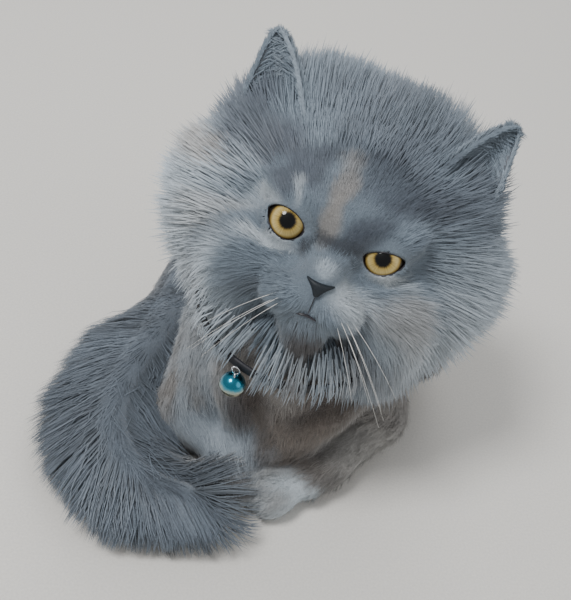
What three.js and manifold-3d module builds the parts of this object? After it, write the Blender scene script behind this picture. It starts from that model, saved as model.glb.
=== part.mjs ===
// A Persian cat at rest in a low crouch, life size, as a still museum model.
// Millimetres, +Z up. The cat faces -Y and its left side is +X. The floor is z = 0.
// The coat of the body and legs is clipped short. The head and the tail keep their long hair.

import * as THREE from 'three';
import { mergeVertices } from 'three/addons/utils/BufferGeometryUtils.js';
import Module from 'manifold-3d';

const wasm = await Module();
wasm.setup();

// Head: where it is, how it turns, and its main sizes.
const EYE_MIDPOINT = new THREE.Vector3(0, -62, 180);
const HEAD_YAW = THREE.MathUtils.degToRad(-12);
const HEAD_PITCH = THREE.MathUtils.degToRad(-30);
const HEAD_ROLL = THREE.MathUtils.degToRad(8);
const EYE_SPACING = 51;
const EYE_RADIUS = 11.5;
const EYE_HEIGHT = 4;
const EYE_DEPTH = -31;
const EYE_FACE_DEPTH = -36;
const LID_THICKNESS = 2;
const EYE_OPENING_WIDTH = 19;
const EYE_OPENING_HEIGHT = { left: 13, right: 16.5 };
const NOSE_WIDTH = 16;
const NOSE_HEIGHT = 10;
const NOSE_CENTRE = new THREE.Vector3(0, -57, -19.5);
const MOUTH_DROP = -33;
const MOUTH_HALF_WIDTH = 17;

// Ears: root in the crown, tip, width and wall.
const EAR_ROOT = new THREE.Vector3(43, 6, 26);
const EAR_TIP = new THREE.Vector3(64, -6, 93);
const EAR_HALF_WIDTH = 21;
const EAR_WALL = 2.4;

// Long hair of the head: a core half way out to the tips, and rings of locks round it. Each ring
// stands at an angle from straight ahead, and the first two leave the brow bare. Locks are shorter
// over the crown, and those of the throat hang down in front of the chest.
const RUFF_CORE_CENTRE = [0, 14, 4];
const RUFF_CORE_SIZE = [72, 48, 58];
const RUFF_RINGS = [
  { from: 46, locks: 10, length: 36, lift: 12, bare: 62 },
  { from: 61, locks: 13, length: 44, lift: 18, bare: 12 },
  { from: 78, locks: 14, length: 50, lift: 26, bare: 0 },
  { from: 97, locks: 14, length: 52, lift: 32, bare: 0 },
  { from: 120, locks: 11, length: 50, lift: 30, bare: 0 },
  { from: 147, locks: 7, length: 44, lift: 24, bare: 0 },
];
const RUFF_LOCK_WIDTH = 32;
const CROWN_SHARE = 0.62;
const THROAT_FORWARD = 0.34;
const THROAT_HANG = 0.75;
const LOCK_THICKNESS = 5;
const LOCK_SINK = 6;

// Long hair of the tail: rows of locks along it, at angles round it from the outer side.
const TAIL_ROWS = [
  { around: -12, reach: 47, along: 0.55 },
  { around: 32, reach: 45, along: 0.65 },
  { around: 82, reach: 38, along: 0.85 },
  { around: 140, reach: 33, along: 1 },
];
const TAIL_LOCK_STEP = 24;
const TAIL_LOCK_WIDTH = 26;
const TAIL_TIP_HEIGHT = 5;
// The locks are longest along the middle of the tail. These are their shares of that elsewhere.
const TAIL_SHARE_AT_RUMP = 0.35;
const TAIL_SHARE_AT_TIP = 0.42;

// Tail: its course along the right side, and its radius under the hair at each of those places.
const TAIL_COURSE = [
  [6, 138, 42], [-20, 130, 31], [-46, 100, 26], [-58, 66, 24], [-68, 34, 24], [-82, 2, 24],
  [-96, -32, 24], [-101, -62, 24], [-93, -88, 24], [-77, -103, 22], [-57, -109, 20],
];
const TAIL_CORE_RADIUS = { root: 19, middle: 17, tip: 11 };

// Collar and bell.
const COLLAR_CENTRE = new THREE.Vector3(-5, -43, 127);
const COLLAR_TILT = THREE.MathUtils.degToRad(17);
const COLLAR_RADIUS = 56;
const COLLAR_WALL = 2.2;
const COLLAR_HEIGHT = 7;
const COLLAR_CLEARANCE = 1.8;
const BELL_CENTRE = new THREE.Vector3(-39.9, -92, 103);
const BELL_RADIUS = 7.2;

// Fineness of the faces, and the gap kept between touching pieces.
const GAP = 0.3;
const LEAST_EDGE = 0.15;
const LOCK_EDGE = 2;
const SLIVER = 0.04;
const SNAP = 0.005;
const BODY_CELL = 15;
const LIMB_CELL = 10;
const FACE_CELL = 5.5;
const TAIL_CELL = 10;

// Colours.
const SLATE = 0x6d747f;
const DARK_SLATE = 0x4b525c;
const CLIPPED = 0x8b8783;
const AMBER = 0xb9903c;
const BELL_TEAL = 0x2b7f93;
const COLLAR_DARK = 0x2a2c30;
const RING_SILVER = 0xb9bcc0;

const side = { left: 1, right: -1 };

// Forms as distances from their surface, negative inside, each a function of x, y and z.

function ellipsoid([cx, cy, cz], [rx, ry, rz], turn = 0) {
  const cos = Math.cos(turn);
  const sin = Math.sin(turn);
  return (x, y, z) => {
    const dx = x - cx;
    const dy = y - cy;
    const u = (cos * dx + sin * dy) / rx;
    const v = (cos * dy - sin * dx) / ry;
    const w = (z - cz) / rz;
    const k0 = Math.hypot(u, v, w);
    const k1 = Math.hypot(u / rx, v / ry, w / rz);
    return k0 * (k0 - 1) / Math.max(k1, 1e-9);
  };
}

function limb([ax, ay, az], [bx, by, bz], ra, rb) {
  const [vx, vy, vz] = [bx - ax, by - ay, bz - az];
  const span = vx * vx + vy * vy + vz * vz;
  return (x, y, z) => {
    const [px, py, pz] = [x - ax, y - ay, z - az];
    const t = Math.min(1, Math.max(0, (px * vx + py * vy + pz * vz) / span));
    return Math.hypot(px - t * vx, py - t * vy, pz - t * vz) - (ra + (rb - ra) * t);
  };
}

function soften(a, b, k) {
  const h = Math.max(k - Math.abs(a - b), 0) / k;
  return Math.min(a, b) - h * h * k * 0.25;
}

function joined(k, ...forms) {
  return (x, y, z) => {
    let d = forms[0](x, y, z);
    for (let i = 1; i < forms.length; i += 1) d = soften(d, forms[i](x, y, z), k);
    return d;
  };
}

function hollowed(k, form, ...hollows) {
  return (x, y, z) => {
    let d = form(x, y, z);
    for (const hollow of hollows) d = -soften(-d, hollow(x, y, z), k);
    return d;
  };
}

function slopeOf(form, x, y, z) {
  const e = 0.3;
  const g = new THREE.Vector3(
    form(x + e, y, z) - form(x - e, y, z),
    form(x, y + e, z) - form(x, y - e, z),
    form(x, y, z + e) - form(x, y, z - e),
  );
  return g.normalize();
}

// A closed mesh on the surface of a form: one point in each cell that the surface crosses.
function surfaceOf(form, low, high, cell) {
  const count = [0, 1, 2].map((a) => Math.ceil((high[a] - low[a]) / cell) + 1);
  const [nx, ny, nz] = count;
  const at = (i, j, k) => i + nx * (j + ny * k);
  const values = new Float32Array(nx * ny * nz);
  for (let k = 0; k < nz; k += 1) {
    for (let j = 0; j < ny; j += 1) {
      for (let i = 0; i < nx; i += 1) {
        values[at(i, j, k)] = form(low[0] + i * cell, low[1] + j * cell, low[2] + k * cell);
      }
    }
  }
  const corners = [];
  for (let c = 0; c < 8; c += 1) corners.push([c & 1, (c >> 1) & 1, (c >> 2) & 1]);
  const edges = [];
  for (let a = 0; a < 8; a += 1) {
    for (const bit of [1, 2, 4]) if (!(a & bit)) edges.push([a, a | bit]);
  }
  const pointIn = new Map();
  const positions = [];
  for (let k = 0; k < nz - 1; k += 1) {
    for (let j = 0; j < ny - 1; j += 1) {
      for (let i = 0; i < nx - 1; i += 1) {
        const v = corners.map(([a, b, c]) => values[at(i + a, j + b, k + c)]);
        const sum = [0, 0, 0];
        let crossings = 0;
        for (const [a, b] of edges) {
          if ((v[a] < 0) === (v[b] < 0)) continue;
          const t = v[a] / (v[a] - v[b]);
          for (let n = 0; n < 3; n += 1) {
            sum[n] += corners[a][n] + t * (corners[b][n] - corners[a][n]);
          }
          crossings += 1;
        }
        if (crossings === 0) continue;
        const p = [i, j, k].map((n, a) => low[a] + cell * (n + sum[a] / crossings));
        for (let step = 0; step < 2; step += 1) {
          const d = Math.max(-cell, Math.min(cell, form(...p)));
          const g = slopeOf(form, ...p);
          p[0] -= 0.8 * d * g.x;
          p[1] -= 0.8 * d * g.y;
          p[2] -= 0.8 * d * g.z;
        }
        pointIn.set(at(i, j, k), positions.length / 3);
        positions.push(...p);
      }
    }
  }
  const index = [];
  const steps = [1, nx, nx * ny];
  for (let k = 1; k < nz - 1; k += 1) {
    for (let j = 1; j < ny - 1; j += 1) {
      for (let i = 1; i < nx - 1; i += 1) {
        const here = at(i, j, k);
        for (let a = 0; a < 3; a += 1) {
          const next = here + steps[a];
          if ((values[here] < 0) === (values[next] < 0)) continue;
          const u = steps[(a + 1) % 3];
          const w = steps[(a + 2) % 3];
          const quad = [here - u - w, here - w, here, here - u].map((n) => pointIn.get(n));
          if (values[here] >= 0) quad.reverse();
          index.push(quad[0], quad[1], quad[2], quad[0], quad[2], quad[3]);
        }
      }
    }
  }
  const geometry = new THREE.BufferGeometry();
  geometry.setAttribute('position', new THREE.Float32BufferAttribute(positions, 3));
  geometry.setIndex(index);
  return geometry;
}

// A solid from a closed geometry, and its largest closed surface.
function solidOf(geometry) {
  const bare = geometry.clone();
  bare.deleteAttribute('normal');
  bare.deleteAttribute('uv');
  const merged = mergeVertices(bare, 1e-3);
  return new wasm.Manifold(new wasm.Mesh({
    numProp: 3,
    vertProperties: new Float32Array(merged.attributes.position.array),
    triVerts: new Uint32Array(merged.index.array),
  }));
}

function largestOf(solid) {
  const pieces = solid.decompose();
  return pieces.reduce((a, b) => (b.volume() > a.volume() ? b : a));
}

function geometryOf(solid) {
  const { vertProperties, triVerts, numProp } = solid.getMesh();
  const positions = [];
  for (let i = 0; i < vertProperties.length; i += numProp) {
    positions.push(vertProperties[i], vertProperties[i + 1], vertProperties[i + 2]);
  }
  const geometry = new THREE.BufferGeometry();
  geometry.setAttribute('position', new THREE.Float32BufferAttribute(positions, 3));
  geometry.setIndex(Array.from(triVerts));
  return geometry;
}

// Draws together the ends of edges shorter than a limit, and turns the long side of a sliver,
// wherever the surface stays one closed sheet and no face turns over.
function tidied(geometry, limit) {
  const { position } = geometry.attributes;
  const places = [];
  for (let i = 0; i < position.count; i += 1) {
    places.push(new THREE.Vector3().fromBufferAttribute(position, i));
  }
  const faces = [];
  const facesAt = places.map(() => new Set());
  const given = geometry.index.array;
  for (let i = 0; i < given.length; i += 3) {
    const face = [given[i], given[i + 1], given[i + 2]];
    for (const corner of face) facesAt[corner].add(faces.length);
    faces.push(face);
  }
  const neighbours = (a) => {
    const found = new Set();
    for (const f of facesAt[a]) for (const corner of faces[f]) if (corner !== a) found.add(corner);
    return found;
  };
  const slant = ([a, b, c]) => new THREE.Vector3().crossVectors(b.clone().sub(a), c.clone().sub(a));
  const facing = (face) => slant(face.map((corner) => places[corner]));
  const sideOf = (face, c) => places[face[c]].distanceTo(places[face[(c + 1) % 3]]);
  const longestSide = (face) => [1, 2].reduce((l, c) => (sideOf(face, c) > sideOf(face, l) ? c : l), 0);
  const heightOf = (face) => facing(face).length() / Math.max(sideOf(face, longestSide(face)), 1e-9);
  const turnsOver = (moving, fixed, target) => {
    for (const f of facesAt[moving]) {
      if (faces[f].includes(fixed) || heightOf(faces[f]) < SLIVER) continue;
      const before = slant(faces[f].map((corner) => places[corner]));
      const after = slant(faces[f].map((corner) => (corner === moving ? target : places[corner])));
      if (before.dot(after) <= 0.3 * before.length() * after.length()) return true;
    }
    return false;
  };
  const drawTogether = (a, b) => {
    const ends = neighbours(b);
    const common = [...neighbours(a)].filter((n) => ends.has(n));
    if (common.length !== 2 || !ends.has(a)) return;
    const target = places[a].clone().lerp(places[b], 0.5);
    if (turnsOver(a, b, target) || turnsOver(b, a, target)) return;
    places[a].copy(target);
    for (const f of [...facesAt[b]]) {
      if (faces[f].includes(a)) {
        for (const corner of faces[f]) facesAt[corner].delete(f);
        faces[f] = null;
      } else {
        faces[f] = faces[f].map((corner) => (corner === b ? a : corner));
        facesAt[a].add(f);
      }
    }
    facesAt[b].clear();
  };
  const swapLongSide = (f) => {
    const face = faces[f];
    const l = longestSide(face);
    const [a, b, c] = [face[l], face[(l + 1) % 3], face[(l + 2) % 3]];
    const g = [...facesAt[a]].find((other) => other !== f && faces[other].includes(b));
    const d = faces[g].find((corner) => corner !== a && corner !== b);
    if (neighbours(c).has(d)) return;
    const outward = facing(face).add(facing(faces[g]));
    const fresh = [[a, d, c], [d, b, c]];
    const worse = (next) => facing(next).dot(outward) <= 0 || heightOf(next) < heightOf(face);
    if (fresh.some(worse)) return;
    [faces[f], faces[g]] = fresh;
    facesAt[b].delete(f);
    facesAt[d].add(f);
    facesAt[a].delete(g);
    facesAt[c].add(g);
  };
  for (const share of [0.03, 0.2, 0.5, 1, 1, 1, 1]) {
    for (let f = 0; f < faces.length; f += 1) {
      if (faces[f] && heightOf(faces[f]) < SLIVER) swapLongSide(f);
      for (let c = 0; c < 3 && faces[f]; c += 1) {
        const a = faces[f][c];
        const b = faces[f][(c + 1) % 3];
        if (places[a].distanceTo(places[b]) < limit * share) drawTogether(a, b);
      }
    }
  }
  const used = faces.filter(Boolean);
  const taken = new Set();
  for (const i of new Set(used.flat())) {
    const steps = places[i].toArray().map((value) => Math.round(value / SNAP));
    while (taken.has(steps.join())) steps[2] += 1;
    taken.add(steps.join());
    places[i].fromArray(steps.map((step) => step * SNAP));
  }
  const clean = new THREE.BufferGeometry();
  clean.setAttribute('position', new THREE.Float32BufferAttribute(places.flatMap((p) => [...p]), 3));
  clean.setIndex(used.flat());
  return clean;
}

function tidiedSolid(solid, limit) {
  return solidOf(tidied(geometryOf(solid), limit));
}

// The same solid with its surface moved out, to cut a neighbour clear of it.
function grown(solid, amount = GAP) {
  const geometry = geometryOf(solid);
  geometry.computeVertexNormals();
  const { position, normal } = geometry.attributes;
  for (let i = 0; i < position.count; i += 1) {
    position.setXYZ(
      i,
      position.getX(i) + amount * normal.getX(i),
      position.getY(i) + amount * normal.getY(i),
      position.getZ(i) + amount * normal.getZ(i),
    );
  }
  return solidOf(geometry);
}

function aboveFloor(solid) {
  const slab = new THREE.BoxGeometry(900, 900, 200).translate(0, 0, -100);
  return solid.subtract(solidOf(slab));
}

// Repeatable variation between 0 and 1.
let drawState = 7;
function draw() {
  drawState = (drawState * 16807) % 2147483647;
  return drawState / 2147483647;
}

function vary(value, share) {
  return value * (1 + share * (2 * draw() - 1));
}

// A lock of hair: a flat blade with a ridge, bent from its root along its lie, tapering to a tip.
// Its flat side faces away from the body, or the way given.
function lockOf({ root, out, lie, length, width, rise, flat = out }) {
  const across = new THREE.Vector3().crossVectors(lie, flat).normalize();
  const over = new THREE.Vector3().crossVectors(across, lie).normalize();
  const curve = new THREE.QuadraticBezierCurve3(
    root.clone().addScaledVector(out, -LOCK_SINK).addScaledVector(lie, -0.1 * length),
    root.clone().addScaledVector(out, rise).addScaledVector(lie, 0.4 * length),
    root.clone().addScaledVector(lie, length),
  );
  const positions = [];
  const rings = [[0, 0.7], [0.42, 1], [0.78, 0.68]];
  for (const [t, share] of rings) {
    const p = curve.getPoint(t);
    const thick = LOCK_THICKNESS * (0.45 + 0.55 * share);
    for (const [u, v] of [[-0.5, -0.1], [0, 0.5], [0.5, -0.1], [0, -0.5]]) {
      const q = p.clone().addScaledVector(across, u * share * width).addScaledVector(over, v * thick);
      positions.push(q.x, q.y, q.z);
    }
  }
  const tip = curve.getPoint(1);
  positions.push(tip.x, tip.y, tip.z);
  const index = [0, 2, 1, 0, 3, 2];
  for (let ring = 0; ring < rings.length; ring += 1) {
    for (let c = 0; c < 4; c += 1) {
      const a = 4 * ring + c;
      const b = 4 * ring + ((c + 1) % 4);
      if (ring === rings.length - 1) index.push(a, b, 4 * rings.length);
      else index.push(a, b + 4, a + 4, a, b, b + 4);
    }
  }
  const geometry = new THREE.BufferGeometry();
  geometry.setAttribute('position', new THREE.Float32BufferAttribute(positions, 3));
  geometry.setIndex(index);
  return geometry;
}

function moved(geometry, matrix) {
  const copy = geometry.clone();
  copy.applyMatrix4(matrix);
  return copy;
}

// The head's own frame: its middle is the origin, -Y is forward and +Z is the crown.
const headTurn = new THREE.Matrix4().makeRotationFromEuler(
  new THREE.Euler(HEAD_PITCH, HEAD_ROLL, HEAD_YAW, 'ZXY'),
);
const eyeMiddle = new THREE.Vector3(0, EYE_FACE_DEPTH, EYE_HEIGHT);
const headFrame = headTurn.clone().setPosition(
  EYE_MIDPOINT.clone().sub(eyeMiddle.clone().applyMatrix4(headTurn)),
);
const intoHead = headFrame.clone().invert();

const turnIn = intoHead.elements;
function inHead(form) {
  return (x, y, z) => form(
    turnIn[0] * x + turnIn[4] * y + turnIn[8] * z + turnIn[12],
    turnIn[1] * x + turnIn[5] * y + turnIn[9] * z + turnIn[13],
    turnIn[2] * x + turnIn[6] * y + turnIn[10] * z + turnIn[14],
  );
}

function placedOnHead(geometry) {
  return solidOf(moved(geometry, headFrame));
}

// Torso: chest, brisket between the forelegs, loin and rump, bent a little towards the left.
const torsoForm = joined(
  34,
  ellipsoid([0, -38, 80], [50, 50, 54]),
  ellipsoid([14, 22, 64], [58, 62, 66]),
  ellipsoid([30, 80, 66], [60, 60, 60]),
  ellipsoid([-7, -60, 52], [26, 20, 32]),
  ellipsoid([-2, -50, 92], [45, 38, 34]),
);
const torsoWhole = solidOf(surfaceOf(torsoForm, [-90, -120, -30], [130, 170, 160], BODY_CELL));
const torso = aboveFloor(torsoWhole);
const aroundTorso = grown(torsoWhole);

// Neck: from the top of the chest up into the head.
const neckForm = limb([2, -18, 104], [4, -28, 146], 42, 37);
const neckWhole = solidOf(surfaceOf(neckForm, [-60, -80, 40], [60, 40, 200], BODY_CELL));
const aroundNeck = grown(neckWhole);

// Forelegs: upper arm against the chest, forearm folded in along the floor, and the paw.
const forelegs = {
  left: {
    shoulder: [42, -34, 88], elbow: [62, -40, 26], wrist: [31, -73, 17], palm: [18, -84, 15],
    paw: [-1, -93, 13], pawTurn: THREE.MathUtils.degToRad(205), armRadius: 27, elbowRadius: 21,
  },
  right: {
    shoulder: [-42, -36, 88], elbow: [-56, -46, 26], wrist: [-30, -72, 18], palm: [-31, -82, 15],
    paw: [-32, -90, 12.5], pawTurn: THREE.MathUtils.degToRad(265), armRadius: 27, elbowRadius: 21,
  },
};

function forelegForm(leg) {
  const forearm = joined(
    10,
    limb(leg.shoulder, leg.elbow, leg.armRadius, leg.elbowRadius),
    limb(leg.elbow, leg.wrist, leg.elbowRadius - 1, 15),
  );
  return joined(
    8,
    forearm,
    limb(leg.wrist, leg.palm, 15, 14.5),
    ellipsoid(leg.paw, [19, 16, 12.5], leg.pawTurn),
  );
}

// Hind legs: thigh against the flank, shank, and the foot flat on the floor from hock to toes.
const hindlegs = {
  left: {
    thigh: [86, 44, 54], thighSize: [32, 56, 44], knee: [94, 8, 43], hock: [68, 100, 17],
    foot: [74, 16, 13], toes: [77, -8, 12.5], kneeRadius: 21,
  },
  right: {
    thigh: [-18, 54, 54], thighSize: [28, 54, 44], knee: [-35, 12, 42], hock: [-14, 102, 17],
    foot: [-36, 22, 13], toes: [-43, -2, 12.5], kneeRadius: 19,
  },
};

function hindlegForm(leg) {
  const [kx, ky, kz] = leg.knee;
  const thigh = joined(
    16,
    ellipsoid(leg.thigh, leg.thighSize),
    limb(leg.knee, [kx, ky + 6, kz - 6], leg.kneeRadius, leg.kneeRadius),
  );
  return joined(
    9,
    thigh,
    limb([kx * 0.95, ky + 2, kz - 12], leg.hock, 16, 12),
    limb(leg.hock, leg.foot, 13, 13),
    ellipsoid(leg.toes, [16, 22, 12.5]),
  );
}

function limbWhole(form, low, high) {
  return solidOf(surfaceOf(form, low, high, LIMB_CELL));
}

function fitted(whole, ...neighbours) {
  return largestOf(neighbours.reduce((rest, cutter) => rest.subtract(cutter), aboveFloor(whole)));
}

const forelegLeftWhole = limbWhole(forelegForm(forelegs.left), [-40, -130, -30], [110, 20, 140]);
const forelegRightWhole = limbWhole(forelegForm(forelegs.right), [-110, -130, -30], [20, 20, 140]);
const hindlegLeftWhole = limbWhole(hindlegForm(hindlegs.left), [30, -60, -30], [150, 160, 130]);
const hindlegRightWhole = limbWhole(hindlegForm(hindlegs.right), [-90, -60, -30], [50, 160, 130]);
const aroundForelegLeft = grown(forelegLeftWhole);
const aroundForelegRight = grown(forelegRightWhole);
const aroundHindlegRight = grown(hindlegRightWhole);

const forelegLeft = fitted(forelegLeftWhole, aroundTorso);
const forelegRight = fitted(forelegRightWhole, aroundTorso, aroundForelegLeft);
const hindlegLeft = fitted(hindlegLeftWhole, aroundTorso, aroundForelegLeft);
const hindlegRight = fitted(hindlegRightWhole, aroundTorso, aroundForelegRight);
const neck = fitted(neckWhole, aroundTorso, aroundForelegLeft, aroundForelegRight);

// Head: skull, cheeks, brows, short muzzle and chin, and the hair that stands round them.
const halfEyes = EYE_SPACING / 2;
const bothSides = (make) => [make(side.left), make(side.right)];
const skullForm = hollowed(
  5,
  joined(
    10,
    ellipsoid([0, 2, 6], [47, 48, 43]),
    ...bothSides((s) => ellipsoid([30 * s, -12, -18], [26, 30, 25])),
    ...bothSides((s) => ellipsoid([25 * s, -26, 13], [17, 16, 12])),
    ...bothSides((s) => ellipsoid([9.5 * s, -45, -25], [13, 12, 10.5])),
    ellipsoid([0, -38, -12], [12, 20, 12]),
    ellipsoid([0, -37, -35], [14, 13, 10]),
  ),
  ...bothSides((s) => ellipsoid([halfEyes * s, -51, EYE_HEIGHT], [13, 11, 10])),
);
const ruffCoreForm = ellipsoid(RUFF_CORE_CENTRE, RUFF_CORE_SIZE);
const headCoreForm = joined(1, skullForm, ruffCoreForm);

// The ruff: locks in rings round the face, lying back and away from the nose, and down a little.
const downInHead = new THREE.Vector3(0, 0, -1).transformDirection(intoHead);
const hangInHead = new THREE.Vector3(0, -THROAT_FORWARD, -1).transformDirection(intoHead);

function onHeadCore(out) {
  const p = new THREE.Vector3(...RUFF_CORE_CENTRE);
  let reach = 30;
  for (let step = 0; step < 50; step += 1) {
    p.set(...RUFF_CORE_CENTRE).addScaledVector(out, reach);
    reach -= headCoreForm(p.x, p.y, p.z) * 0.7;
  }
  return p;
}

function nearEar(p) {
  const q = new THREE.Vector3(Math.abs(p.x), p.y, p.z);
  const line = new THREE.Line3(EAR_ROOT, EAR_TIP);
  const closest = line.closestPointToPoint(q, true, new THREE.Vector3());
  return closest.distanceTo(q) < EAR_HALF_WIDTH * 0.9;
}

function ruffLocks() {
  const locks = [];
  RUFF_RINGS.forEach(({ from, locks: count, length, lift, bare }, ring) => {
    const brow = THREE.MathUtils.degToRad(bare);
    const span = 2 * Math.PI - 2 * brow;
    for (let i = 0; i < count; i += 1) {
      const angle = brow + (span * (i + 0.3 + (ring % 2) / 2 + 0.25 * (draw() - 0.5))) / count;
      const polar = THREE.MathUtils.degToRad(from + 5 * (draw() - 0.5));
      const out = new THREE.Vector3(
        Math.sin(polar) * Math.sin(angle), -Math.cos(polar), Math.sin(polar) * Math.cos(angle),
      );
      const root = onHeadCore(out);
      if (nearEar(root)) continue;
      const normal = slopeOf(headCoreForm, root.x, root.y, root.z);
      const lie = root.clone().sub(NOSE_CENTRE).normalize();
      lie.addScaledVector(downInHead, 0.35);
      lie.addScaledVector(normal, -lie.dot(normal)).normalize();
      const up = from < 100 ? Math.max(0, Math.cos(angle)) : 0;
      const share = 1 - (1 - CROWN_SHARE) * up;
      const raise = THREE.MathUtils.degToRad(vary(lift, 0.2));
      lie.multiplyScalar(Math.cos(raise)).addScaledVector(normal, Math.sin(raise)).normalize();
      const throat = from < 120 ? Math.max(0, -Math.cos(angle) - 0.3) / 0.7 : 0;
      lie.lerp(hangInHead, THROAT_HANG * Math.min(1, 2 * throat)).normalize();
      locks.push(lockOf({
        root, out: normal, lie, rise: 5,
        length: vary(length, 0.12) * share, width: vary(RUFF_LOCK_WIDTH, 0.12),
      }));
    }
  });
  return locks;
}

function eyeSphere(s, radius, detail) {
  const ball = new THREE.IcosahedronGeometry(radius, detail);
  return placedOnHead(ball.translate(halfEyes * s, EYE_DEPTH, EYE_HEIGHT));
}

// The opening between the lids: an almond, drawn forward from the middle of the eyeball.
function lidOpening(s, height) {
  const half = EYE_OPENING_WIDTH / 2;
  const almond = new THREE.Shape();
  almond.moveTo(-half, 0);
  almond.bezierCurveTo(-half * 0.55, height * 0.68, half * 0.55, height * 0.68, half, 0);
  almond.bezierCurveTo(half * 0.55, -height * 0.66, -half * 0.55, -height * 0.66, -half, 0);
  const opening = new THREE.ExtrudeGeometry(almond, {
    depth: 40, bevelEnabled: false, curveSegments: 6,
  });
  opening.rotateX(Math.PI / 2);
  opening.translate(halfEyes * s, EYE_DEPTH, EYE_HEIGHT);
  return placedOnHead(opening);
}

// The nose leather: a rounded triangle with its two nostrils.
function noseLeather() {
  const half = NOSE_WIDTH / 2;
  const outline = new THREE.Shape();
  outline.moveTo(0, -NOSE_HEIGHT / 2);
  outline.quadraticCurveTo(half * 0.5, -NOSE_HEIGHT * 0.3, half * 0.9, NOSE_HEIGHT * 0.15);
  outline.quadraticCurveTo(half, NOSE_HEIGHT / 2, half * 0.5, NOSE_HEIGHT / 2);
  outline.quadraticCurveTo(0, NOSE_HEIGHT * 0.4, -half * 0.5, NOSE_HEIGHT / 2);
  outline.quadraticCurveTo(-half, NOSE_HEIGHT / 2, -half * 0.9, NOSE_HEIGHT * 0.15);
  outline.quadraticCurveTo(-half * 0.5, -NOSE_HEIGHT * 0.3, 0, -NOSE_HEIGHT / 2);
  const leather = new THREE.ExtrudeGeometry(outline, {
    depth: 9, bevelThickness: 1.2, bevelSize: 0.8, bevelOffset: -0.8, bevelSegments: 1, curveSegments: 3,
  });
  leather.rotateX(Math.PI / 2);
  leather.rotateX(THREE.MathUtils.degToRad(-14));
  leather.translate(NOSE_CENTRE.x, NOSE_CENTRE.y + 9, NOSE_CENTRE.z);
  return placedOnHead(leather);
}

function nostril(s) {
  const pit = new THREE.SphereGeometry(1, 7, 5).scale(1.9, 3, 1.2);
  pit.rotateY(THREE.MathUtils.degToRad(28 * s));
  pit.translate(3.8 * s, NOSE_CENTRE.y + 0.4, NOSE_CENTRE.z - 0.6);
  return placedOnHead(pit);
}

// How far forward the face reaches at a place across and up.
function faceDepth(x, z) {
  let y = -90;
  for (let step = 0; step < 60; step += 1) y += Math.max(skullForm(x, y, z) * 0.8, 0.02);
  return y;
}

// The line of the mouth: down from the nose, then out and back under each pad of the muzzle.
function alongMouth(s, drop) {
  const points = [];
  for (let i = 0; i <= 6; i += 1) {
    const t = i / 6;
    const x = MOUTH_HALF_WIDTH * t * s;
    const z = MOUTH_DROP - drop - 2.2 * Math.sin(Math.PI * Math.min(1, t * 1.3)) + 1.5 * t * t;
    points.push(new THREE.Vector3(x, faceDepth(x, z) + 0.3, z));
  }
  return new THREE.CatmullRomCurve3(points);
}

function strand(curve, halfWidth, steps) {
  const section = new THREE.Shape();
  for (let i = 0; i < 5; i += 1) {
    const angle = (2 * Math.PI * i) / 5;
    const place = [halfWidth * Math.cos(angle), halfWidth * Math.sin(angle)];
    if (i === 0) section.moveTo(...place);
    else section.lineTo(...place);
  }
  section.closePath();
  return placedOnHead(new THREE.ExtrudeGeometry(section, {
    steps, bevelEnabled: false, extrudePath: curve,
  }));
}

function philtrum() {
  const top = NOSE_CENTRE.z - NOSE_HEIGHT / 2;
  const points = [];
  for (let i = 0; i <= 3; i += 1) {
    const z = top + (MOUTH_DROP - top) * (i / 3);
    points.push(new THREE.Vector3(0, faceDepth(0, z) + 0.2, z));
  }
  return strand(new THREE.CatmullRomCurve3(points), 0.9, 3);
}

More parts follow.
